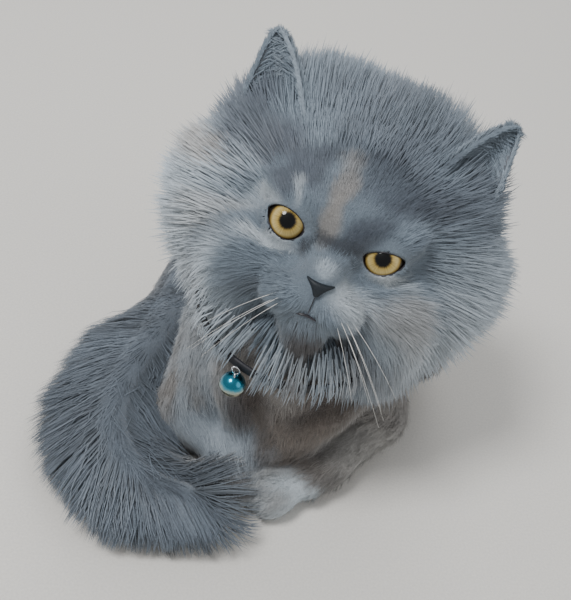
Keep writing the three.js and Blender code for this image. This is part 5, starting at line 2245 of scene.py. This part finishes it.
def eye_mesh(eye: Eye, name: str) -> bpy.types.Object:
    """Makes an eyeball with a slight bulge at the front, turned to look at the viewer.

    Args:
        eye: The eye.
        name: The object's name.

    Returns:
        The object.
    """
    centre = HEAD.out(eye.centre[None])[0]
    gaze = HEAD.aim_out(eye.axes[2])
    side = unit(np.cross(gaze, np.array([0.0, 0.0, 1.0])))
    top = np.cross(gaze, side)
    rows, columns = 40, 48
    polar = np.linspace(0, np.pi, rows + 1)
    turn = np.linspace(0, 2 * np.pi, columns, endpoint=False)
    radius = EYE_RADIUS * (1 + 0.035 * (1 - ramp(np.degrees(polar), 20, 62)))
    ring = radius * np.sin(polar)
    depth = radius * np.cos(polar)
    points = [centre + gaze * depth[0]]
    for r in range(1, rows):
        points.extend(centre + gaze * depth[r] + ring[r] * (
            np.cos(turn)[:, None] * side + np.sin(turn)[:, None] * top))
    points.append(centre + gaze * depth[-1])
    sizes, loops, uv = globe_faces(rows, columns)
    return add_mesh(name, np.array(points), sizes, loops, uv=uv, uv_name="EyeAngle")


def nose_mesh() -> bpy.types.Object:
    """Makes the nose leather with its nostrils.

    Returns:
        The object.
    """
    step = 0.5
    points, quads = surface(
        NOSE, np.arange(-11, 11, step), np.arange(-62, -46, step), np.arange(-28, -11, step), 2.5
    )
    return add_mesh("nose_leather", HEAD.out(points), np.full(len(quads), 4), quads.ravel())


@dataclass
class Face:
    """Eyes, lids, nose, lips and whiskers."""

    materials: Materials
    tree: bpy.types.NodeTree
    rim_proud: float = 0.7
    rim_radius: float = 0.42
    rim_at_corner: float = 0.4
    lip_radii: tuple[float, float, float] = (0.7, 0.7, 0.28)
    lips_half_width: float = 5.2
    lips_sunk: float = 0.3
    pad_side: float = 13.0
    pad_height: float = -25.5
    whisker_gap: float = 3.6
    whisker_row_gap: float = 3.2
    whisker_lengths: tuple[float, float] = (38.0, 54.0)
    whisker_radii: tuple[float, float] = (0.12, 0.03)
    whisker_sag: float = -9.0

    def build(self) -> None:
        """Makes every piece of the face."""
        for side in Side:
            name = f"eye_{side.name.lower()}"
            finish_piece(eye_mesh(Eye(side), name + "_ball"), self.materials.eye, "eye", name)
        self.lids()
        finish_piece(nose_mesh(), self.materials.leather, "long_coat")
        self.lips()
        self.whiskers()

    def lids(self) -> None:
        """Makes the dark rims of the lids."""
        lines, radii = [], []
        stations = 72
        for side in Side:
            lines.append(HEAD.out(Eye(side).rim(stations, EYE_RADIUS + self.rim_proud)))
            from_corner = np.abs(np.linspace(0, 2 * np.pi, stations, endpoint=False) - np.pi)
            at_corner = np.exp(-(from_corner / 0.45) ** 2)
            radii.append(self.rim_radius + self.rim_at_corner * at_corner)
        piece = swept("lid_rims", lines, radii, 10, self.materials.rim, True, self.tree)
        finish_piece(piece, self.materials.rim, "long_coat")

    def lips(self) -> None:
        """Makes the dark line of the lips."""
        lines, radii = [], []
        for line, thick in zip(ANATOMY.mouth, self.lip_radii):
            fine = spline(line, 24)
            fine = fine[np.abs(fine[:, 0]) < self.lips_half_width]
            fine[:, 1] += self.lips_sunk
            lines.append(HEAD.out(fine))
            t = np.linspace(0, 1, len(fine))
            radii.append(thick * np.interp(t, (0, 0.1, 0.7, 1), (0.9, 1.0, 0.85, 0.3)))
        piece = swept("lip_line", lines, radii, 8, self.materials.rim, False, self.tree)
        finish_piece(piece, self.materials.rim, "long_coat")

    def whiskers(self) -> None:
        """Makes the whiskers, which droop from both pads."""
        source = np.random.default_rng(11)
        lines, radii = [], []
        for side in Side:
            for row in range(2):
                for k in range(3 if side is Side.LEFT else 2):
                    x = (self.pad_side + self.whisker_gap * k) * side.value
                    z = self.pad_height - self.whisker_row_gap * row - 0.6 * k
                    y = ANATOMY.face_depth(np.array([x]), np.array([z]))[0] + 1.5
                    reach = source.uniform(*self.whisker_lengths) * (1 - 0.1 * row)
                    droop = -0.6 - 0.16 * row + source.uniform(-0.1, 0.1)
                    way = unit(np.array([side.value * (0.7 + 0.12 * k), -0.42, droop]))
                    lines.append(self._curved(np.array([x, y, z]), way, reach, self.whisker_sag))
                    radii.append(np.linspace(*self.whisker_radii, 10))
        piece = swept("whiskers", lines, radii, 5, self.materials.whisker, False, self.tree)
        finish_piece(piece, self.materials.whisker, "long_coat")

    @staticmethod
    def _curved(start: np.ndarray, way: np.ndarray, reach: float, sag: float) -> np.ndarray:
        """Returns a line that starts in the skin and sags towards its end, in the cat's frame.

        Args:
            start: Where it starts, in the head's frame.
            way: Its direction.
            reach: Its length.
            sag: How far its end drops, as a negative height.

        Returns:
            The places.
        """
        t = np.linspace(0, 1, 10)[:, None]
        line = HEAD.out(start[None] + way[None] * reach * t)
        line[:, 2] += (sag * t ** 2)[:, 0]
        return line


@dataclass
class Ears:
    """The two ears: a thin curved sheet, its short hair and the hair inside the cup."""

    materials: Materials
    root: tuple[float, float, float] = (43.0, 6.0, 26.0)
    tip: tuple[float, float, float] = (66.5, -5.5, 86.5)
    forward: tuple[float, float, float] = (0.35, -0.93, 0.1)
    half_width: float = 21.5
    taper: float = 0.55
    root_curl: float = 1.75
    tip_curl: float = 0.85
    half_thickness: float = 1.0
    back_hairs: int = 4600
    fringe_hairs: int = 3000
    cup_hairs: int = 3600

    def place(self, s: int, v: np.ndarray, h: np.ndarray, offset: np.ndarray) -> np.ndarray:
        """Returns places on the ear in the cat's frame.

        Args:
            s: Side, 1 or -1.
            v: Share of the way from root to tip.
            h: Place across, from -1 to 1.
            offset: Distance outwards from the middle of the sheet.

        Returns:
            The places.
        """
        root = np.array(self.root)
        axis = np.array(self.tip) - root
        height = np.linalg.norm(axis)
        axis = axis / height
        front = np.array(self.forward)
        front = unit(front - (front @ axis) * axis)
        across = np.cross(axis, front)
        taper = np.maximum(0, 1 - v) ** self.taper * (1 + 0.12 * np.sin(np.pi * v))
        width = self.half_width * taper + 1.2 * np.maximum(0, 1 - v) + 0.15
        curl = self.root_curl + (self.tip_curl - self.root_curl) * v
        bend = curl * h
        reach = width / np.sin(np.minimum(np.pi / 2, curl))
        p = root + axis * (height * v)[:, None]
        p = p + across * ((reach + offset) * np.sin(bend))[:, None]
        p = p + front * (reach * 0.55 - (reach + offset) * np.cos(bend) - 5 * v * v)[:, None]
        p[:, 0] *= s
        return HEAD.out(p)

    def build(self) -> None:
        """Makes both ears and their hair."""
        for side in Side:
            name = f"ear_{side.name.lower()}"
            finish_piece(self.sheet(side.value, name + "_skin"), self.materials.ear, "ear", name)
            finish_piece(self.hair(side.value, name + "_hair"), self.materials.fur, "ear")

    def sheet(self, s: int, name: str) -> bpy.types.Object:
        """Makes the ear's skin as one closed sheet.

        Args:
            s: Side, 1 or -1.
            name: The object's name.

        Returns:
            The object.
        """
        rows, columns = 34, 26
        v = 0.996 * (1 - (1 - np.linspace(0, 1, rows + 1)) ** 1.6)
        h = np.linspace(-1, 1, columns + 1)
        grid_v, grid_h = (g.ravel() for g in np.meshgrid(v, h, indexing="ij"))
        thick = self.half_thickness * np.sqrt(np.maximum(1 - grid_h ** 8, 0)) + 0.12
        outer = self.place(s, grid_v, grid_h, thick)
        inner = self.place(s, grid_v, grid_h, -thick)
        layer = (rows + 1) * (columns + 1)

        def at(n: int, r: int, c: int) -> int:
            """Returns the number of a point on the outer layer, 0, or the inner layer, 1."""
            return n * layer + r * (columns + 1) + c

        def flat(cells: Sequence[tuple[int, int, int]]) -> tuple[int, ...]:
            """Returns the numbers of a face's corners."""
            return tuple(at(*cell) for cell in cells)

        quads = []
        for r in range(rows):
            for c in range(columns):
                quads.append(flat([(0, r, c), (0, r + 1, c), (0, r + 1, c + 1), (0, r, c + 1)]))
                quads.append(flat([(1, r, c), (1, r, c + 1), (1, r + 1, c + 1), (1, r + 1, c)]))
            quads.append(flat([(0, r, 0), (1, r, 0), (1, r + 1, 0), (0, r + 1, 0)]))
            side = [(0, r, columns), (0, r + 1, columns), (1, r + 1, columns), (1, r, columns)]
            quads.append(flat(side))
        for c in range(columns):
            quads.append(flat([(0, 0, c), (0, 0, c + 1), (1, 0, c + 1), (1, 0, c)]))
            quads.append(flat([(0, rows, c), (1, rows, c), (1, rows, c + 1), (0, rows, c + 1)]))
        quads = np.array(quads)
        if s < 0:
            quads = quads[:, ::-1]
        outside = np.tile(linear("#68727c"), (layer, 1))
        inside = np.tile(linear("#78797c"), (layer, 1))
        edge = ramp(np.abs(grid_h), 0.7, 1.0)[:, None]
        edge = np.maximum(edge, ramp(grid_v, 0.75, 0.9)[:, None])
        inside = inside + (linear("#5c656f") - inside) * edge
        return add_mesh(
            name, np.vstack([outer, inner]), np.full(len(quads), 4), quads.ravel(),
            np.vstack([outside, inside]),
        )

    def hair(self, s: int, name: str) -> bpy.types.Object:
        """Makes the ear's hair: short on the back, a fringe at the edge, long inside the cup.

        Args:
            s: Side, 1 or -1.
            name: The object's name.

        Returns:
            The object.
        """
        source = np.random.default_rng(21 + s)
        back, fringe, cup = self.back_hairs, self.fringe_hairs, self.cup_hairs
        v = np.concatenate([
            0.97 * source.random(back) ** 1.1, 0.985 * source.random(fringe),
            0.2 + 0.77 * source.random(cup),
        ])
        h = np.concatenate([
            source.uniform(-1, 1, back),
            np.sign(source.uniform(-1, 1, fringe)) * source.uniform(0.93, 1, fringe),
            source.choice([-1, 1], cup, p=[0.6, 0.4]) * source.uniform(0.3, 0.97, cup),
        ])
        offset = np.concatenate([np.full(back, 1.0), np.zeros(fringe), np.full(cup, -1.0)])
        on_back = np.arange(len(v)) < back
        in_cup = np.arange(len(v)) >= back + fringe
        roots = self.place(s, v, h, offset)
        up = unit(self.place(s, v + 0.02, h, offset) - roots)
        wide = self.place(s, v, h + 0.02, offset) - self.place(s, v, h - 0.02, offset)
        normals = unit(self.place(s, v, h, offset + 0.5) - self.place(s, v, h, offset - 0.5))
        normals[~on_back] *= -1
        toward = -np.sign(h)[:, None] * unit(wide)
        at_edge = unit(up - 0.35 * toward + 0.2 * normals)
        inward = unit(up * 0.55 + toward + 0.5 * normals)
        way = np.where(in_cup[:, None], inward, at_edge)
        way = np.where(on_back[:, None], unit(up + 0.35 * normals), way)
        length = np.where(on_back, 6.0, np.where(in_cup, 15 - 6 * v, 6.5))
        length = length * source.uniform(0.7, 1.15, len(v))
        length = np.where(on_back & (v < 0.3), length * 1.8, length)
        normals = unit(0.5 * normals + np.array([0, -0.2, 0.9]))
        width = np.where(in_cup, 0.42, 0.55) * source.uniform(0.8, 1.2, len(v))
        hair = Hair(
            roots, normals, jitter(way, 0.14, source), length, width, rise=1.0, rings=2, clump=0.35,
            guide_count=len(v) // 14, seed=31 + s, root_tone=0.95, tip_tone=1.25,
        )
        return hair.piece(name)


# Collar, bell and ring.


@dataclass
class Collar:
    """The strap under the ruff, with its bell on a ring."""

    materials: Materials
    tree: bpy.types.NodeTree
    strap_sides: int = 16
    slot_half_length: float = 4.2
    slot_half_width: float = 0.55
    slot_end_radius: float = 1.25
    slot_depth: float = 0.28
    ring_radius: float = 2.4
    ring_wire: float = 0.5
    eye_radius: float = 1.5
    eye_wire: float = 0.45
    ring_turn: float = 0.5

    def build(self) -> None:
        """Makes strap, ring and bell."""
        finish_piece(self.strap(), self.materials.strap, "collar", "collar")
        finish_piece(self.bell(), self.materials.bell, "bell", "bell")
        finish_piece(self.ring(), self.materials.ring, "bell_ring", "bell_ring")

    def strap(self) -> bpy.types.Object:
        """Makes the strap with rounded edges.

        Returns:
            The object.
        """
        sides = self.strap_sides
        out = round_collar(STRAP_ANGLES[:-1])
        reach = STRAP_REACH[:-1]
        turn = np.linspace(0, 2 * np.pi, sides, endpoint=False)
        u = np.sign(np.cos(turn)) * np.abs(np.cos(turn)) ** 0.5 * COLLAR_WALL / 2
        w = np.sign(np.sin(turn)) * np.abs(np.sin(turn)) ** 0.35 * COLLAR_HEIGHT / 2
        points = (
            COLLAR_CENTRE + out[:, None] * (reach[:, None] + COLLAR_WALL / 2 + u[None])[..., None]
            + COLLAR_UP * w[None, :, None]
        ).reshape(-1, 3)
        i, j = (g.ravel() for g in np.meshgrid(np.arange(STRAP_STATIONS), np.arange(sides), indexing="ij"))
        k, m = (i + 1) % STRAP_STATIONS, (j + 1) % sides
        quads = np.stack([i * sides + j, k * sides + j, k * sides + m, i * sides + m], 1)
        return add_mesh("collar_strap", points, np.full(len(quads), 4), quads.ravel())

    def bell(self) -> bpy.types.Object:
        """Makes the bell: two halves with a ridge between, and a slot with round ends.

        Returns:
            The object.
        """
        rows, columns = 48, 64
        angle = np.linspace(0, np.pi, rows + 1)
        radius = BELL_RADIUS * (0.955 + 0.045 * np.exp(-((angle - np.pi / 2) / 0.07) ** 2))
        turn = np.linspace(0, 2 * np.pi, columns, endpoint=False)
        a, c = (g.ravel() for g in np.meshgrid(np.arange(1, rows), np.arange(columns), indexing="ij"))
        z = radius[a] * np.cos(angle[a])
        x = radius[a] * np.sin(angle[a]) * np.cos(turn[c])
        y = radius[a] * np.sin(angle[a]) * np.sin(turn[c])
        below = np.clip(-z / BELL_RADIUS, 0, 1)
        half = self.slot_half_length
        slot = np.abs(x) - self.slot_half_width
        ends = np.minimum(np.hypot(x, y - half), np.hypot(x, y + half)) - self.slot_end_radius
        cut = np.where(np.abs(y) < half, np.minimum(slot, ends), ends)
        dent = (1 - ramp(cut, -0.15, 0.25)) * (below > 0.25)
        shrink = 1 - self.slot_depth * dent
        body = np.stack([x * shrink, y * shrink, z * shrink], 1) + BELL_CENTRE
        top = BELL_CENTRE + [0, 0, radius[0]]
        bottom = BELL_CENTRE - [0, 0, radius[-1] * (1 - self.slot_depth)]
        points = np.vstack([top, body, bottom])
        sizes, loops, _ = globe_faces(rows, columns)
        return add_mesh("bell_body", points, sizes, loops)

    def ring(self) -> bpy.types.Object:
        """Makes the ring and the bell's eye that it passes through.

        Returns:
            The object.
        """
        stations = 28
        turn = np.linspace(0, 2 * np.pi, stations, endpoint=False)
        across, up = np.cos(turn)[:, None], np.sin(turn)[:, None] * np.array([0, 0, 1.0])
        way = np.array([math.cos(self.ring_turn), 0, -math.sin(self.ring_turn)])
        centre = BELL_CENTRE + np.array([0.4, 1.2, BELL_RADIUS + 2])
        loop = centre + self.ring_radius * (across * way + up)
        top = BELL_CENTRE + np.array([0, 0, BELL_RADIUS - 0.4])
        eye = top + self.eye_radius * (across * np.array([0, 1.0, 0]) + up)
        radii = [np.full(stations, self.ring_wire), np.full(stations, self.eye_wire)]
        return swept("bell_ring_wire", [loop, eye], radii, 10, self.materials.ring, True, self.tree)


# Stage.


@dataclass(frozen=True)
class Lamp:
    """A soft round light, with its place, its width in metres and its power in watts."""

    name: str
    place: tuple[float, float, float]
    width: float
    power: float
    aim: tuple[float, float, float] = (0.0, 0.0, 0.1)

    def add(self) -> None:
        """Adds the light to the scene."""
        data = bpy.data.lights.new(self.name, "AREA")
        data.shape = "DISK"
        data.size = self.width
        data.energy = self.power
        light = bpy.data.objects.new(self.name, data)
        start = np.array(self.place, float)
        back = unit(start - np.array(self.aim))
        side = unit(np.cross([0.0, 0.0, 1.0], back))
        turn = np.stack([side, np.cross(back, side), back], 1)
        light.matrix_world = Matrix.Translation(start) @ Matrix(turn.tolist()).to_4x4()
        bpy.context.scene.collection.objects.link(light)


@dataclass
class Stage:
    """The floor, the lights and the camera."""

    materials: Materials
    half_floor: float = 4.0
    sky: tuple[float, float, float] = (0.9, 0.92, 0.95)
    sky_strength: float = 0.55
    lamps: tuple[Lamp, ...] = (
        Lamp("key_light", (-0.75, -0.4, 1.65), 0.55, 27),
        Lamp("fill_light", (1.3, -0.9, 0.9), 1.4, 5),
        Lamp("back_light", (0.3, 1.4, 1.2), 1.2, 10),
    )

    def build(self) -> None:
        """Adds everything round the cat."""
        self.floor()
        for lamp in self.lamps:
            lamp.add()
        world = bpy.data.worlds.new("studio")
        world.use_nodes = True
        background = world.node_tree.nodes["Background"]
        background.inputs["Color"].default_value = (*self.sky, 1)
        background.inputs["Strength"].default_value = self.sky_strength
        bpy.context.scene.world = world
        self.camera()

    def floor(self) -> None:
        """Adds the plain pale floor."""
        mesh = bpy.data.meshes.new("floor")
        far = self.half_floor
        corners = [(-far, -far, 0), (far, -far, 0), (far, far, 0), (-far, far, 0)]
        mesh.from_pydata(corners, [], [(0, 1, 2, 3)])
        mesh.materials.append(self.materials.floor)
        floor = bpy.data.objects.new("floor", mesh)
        bpy.context.scene.collection.objects.link(floor)

    def camera(self) -> None:
        """Adds the camera where the photo was taken from."""
        data = bpy.data.cameras.new("camera")
        data.lens = CAMERA_LENS
        data.sensor_width = 36.0
        data.clip_start = 0.02
        camera = bpy.data.objects.new("camera", data)
        flat = math.cos(CAMERA_ELEVATION)
        back = np.array([
            math.sin(CAMERA_AZIMUTH) * flat, -math.cos(CAMERA_AZIMUTH) * flat, math.sin(CAMERA_ELEVATION),
        ])
        right = unit(np.cross(-back, np.array([0.0, 0.0, 1.0])))
        up = np.cross(back, right)
        cos_r, sin_r = math.cos(CAMERA_ROLL), math.sin(CAMERA_ROLL)
        turn = np.stack([cos_r * right + sin_r * up, cos_r * up - sin_r * right, back], 1)
        place = Matrix.Translation(to_metres(CAMERA_PLACE[None])[0])
        camera.matrix_world = place @ Matrix(turn.tolist()).to_4x4()
        bpy.context.scene.collection.objects.link(camera)
        bpy.context.scene.camera = camera


def main() -> None:
    """Builds every piece in turn."""
    logging.basicConfig(level=logging.INFO, format="%(message)s")
    materials = Materials()
    Stage(materials).build()
    skin = Skin.grown()
    finish_piece(
        skin.piece(), materials.skin, "long_coat", "torso", "neck", "head", "foreleg_left",
        "foreleg_right", "hindleg_left", "hindleg_right", "tail_base", "tail_middle", "tail_tip",
    )
    thin = 1.0
    for coat in (HeadCoat(skin), TailCoat(skin), BodyCoat(skin)):
        coat.build(materials, thin)
    tree = sweep_tree()
    Face(materials, tree).build()
    Ears(materials).build()
    Collar(materials, tree).build()


if __name__ == "__main__":
    main()
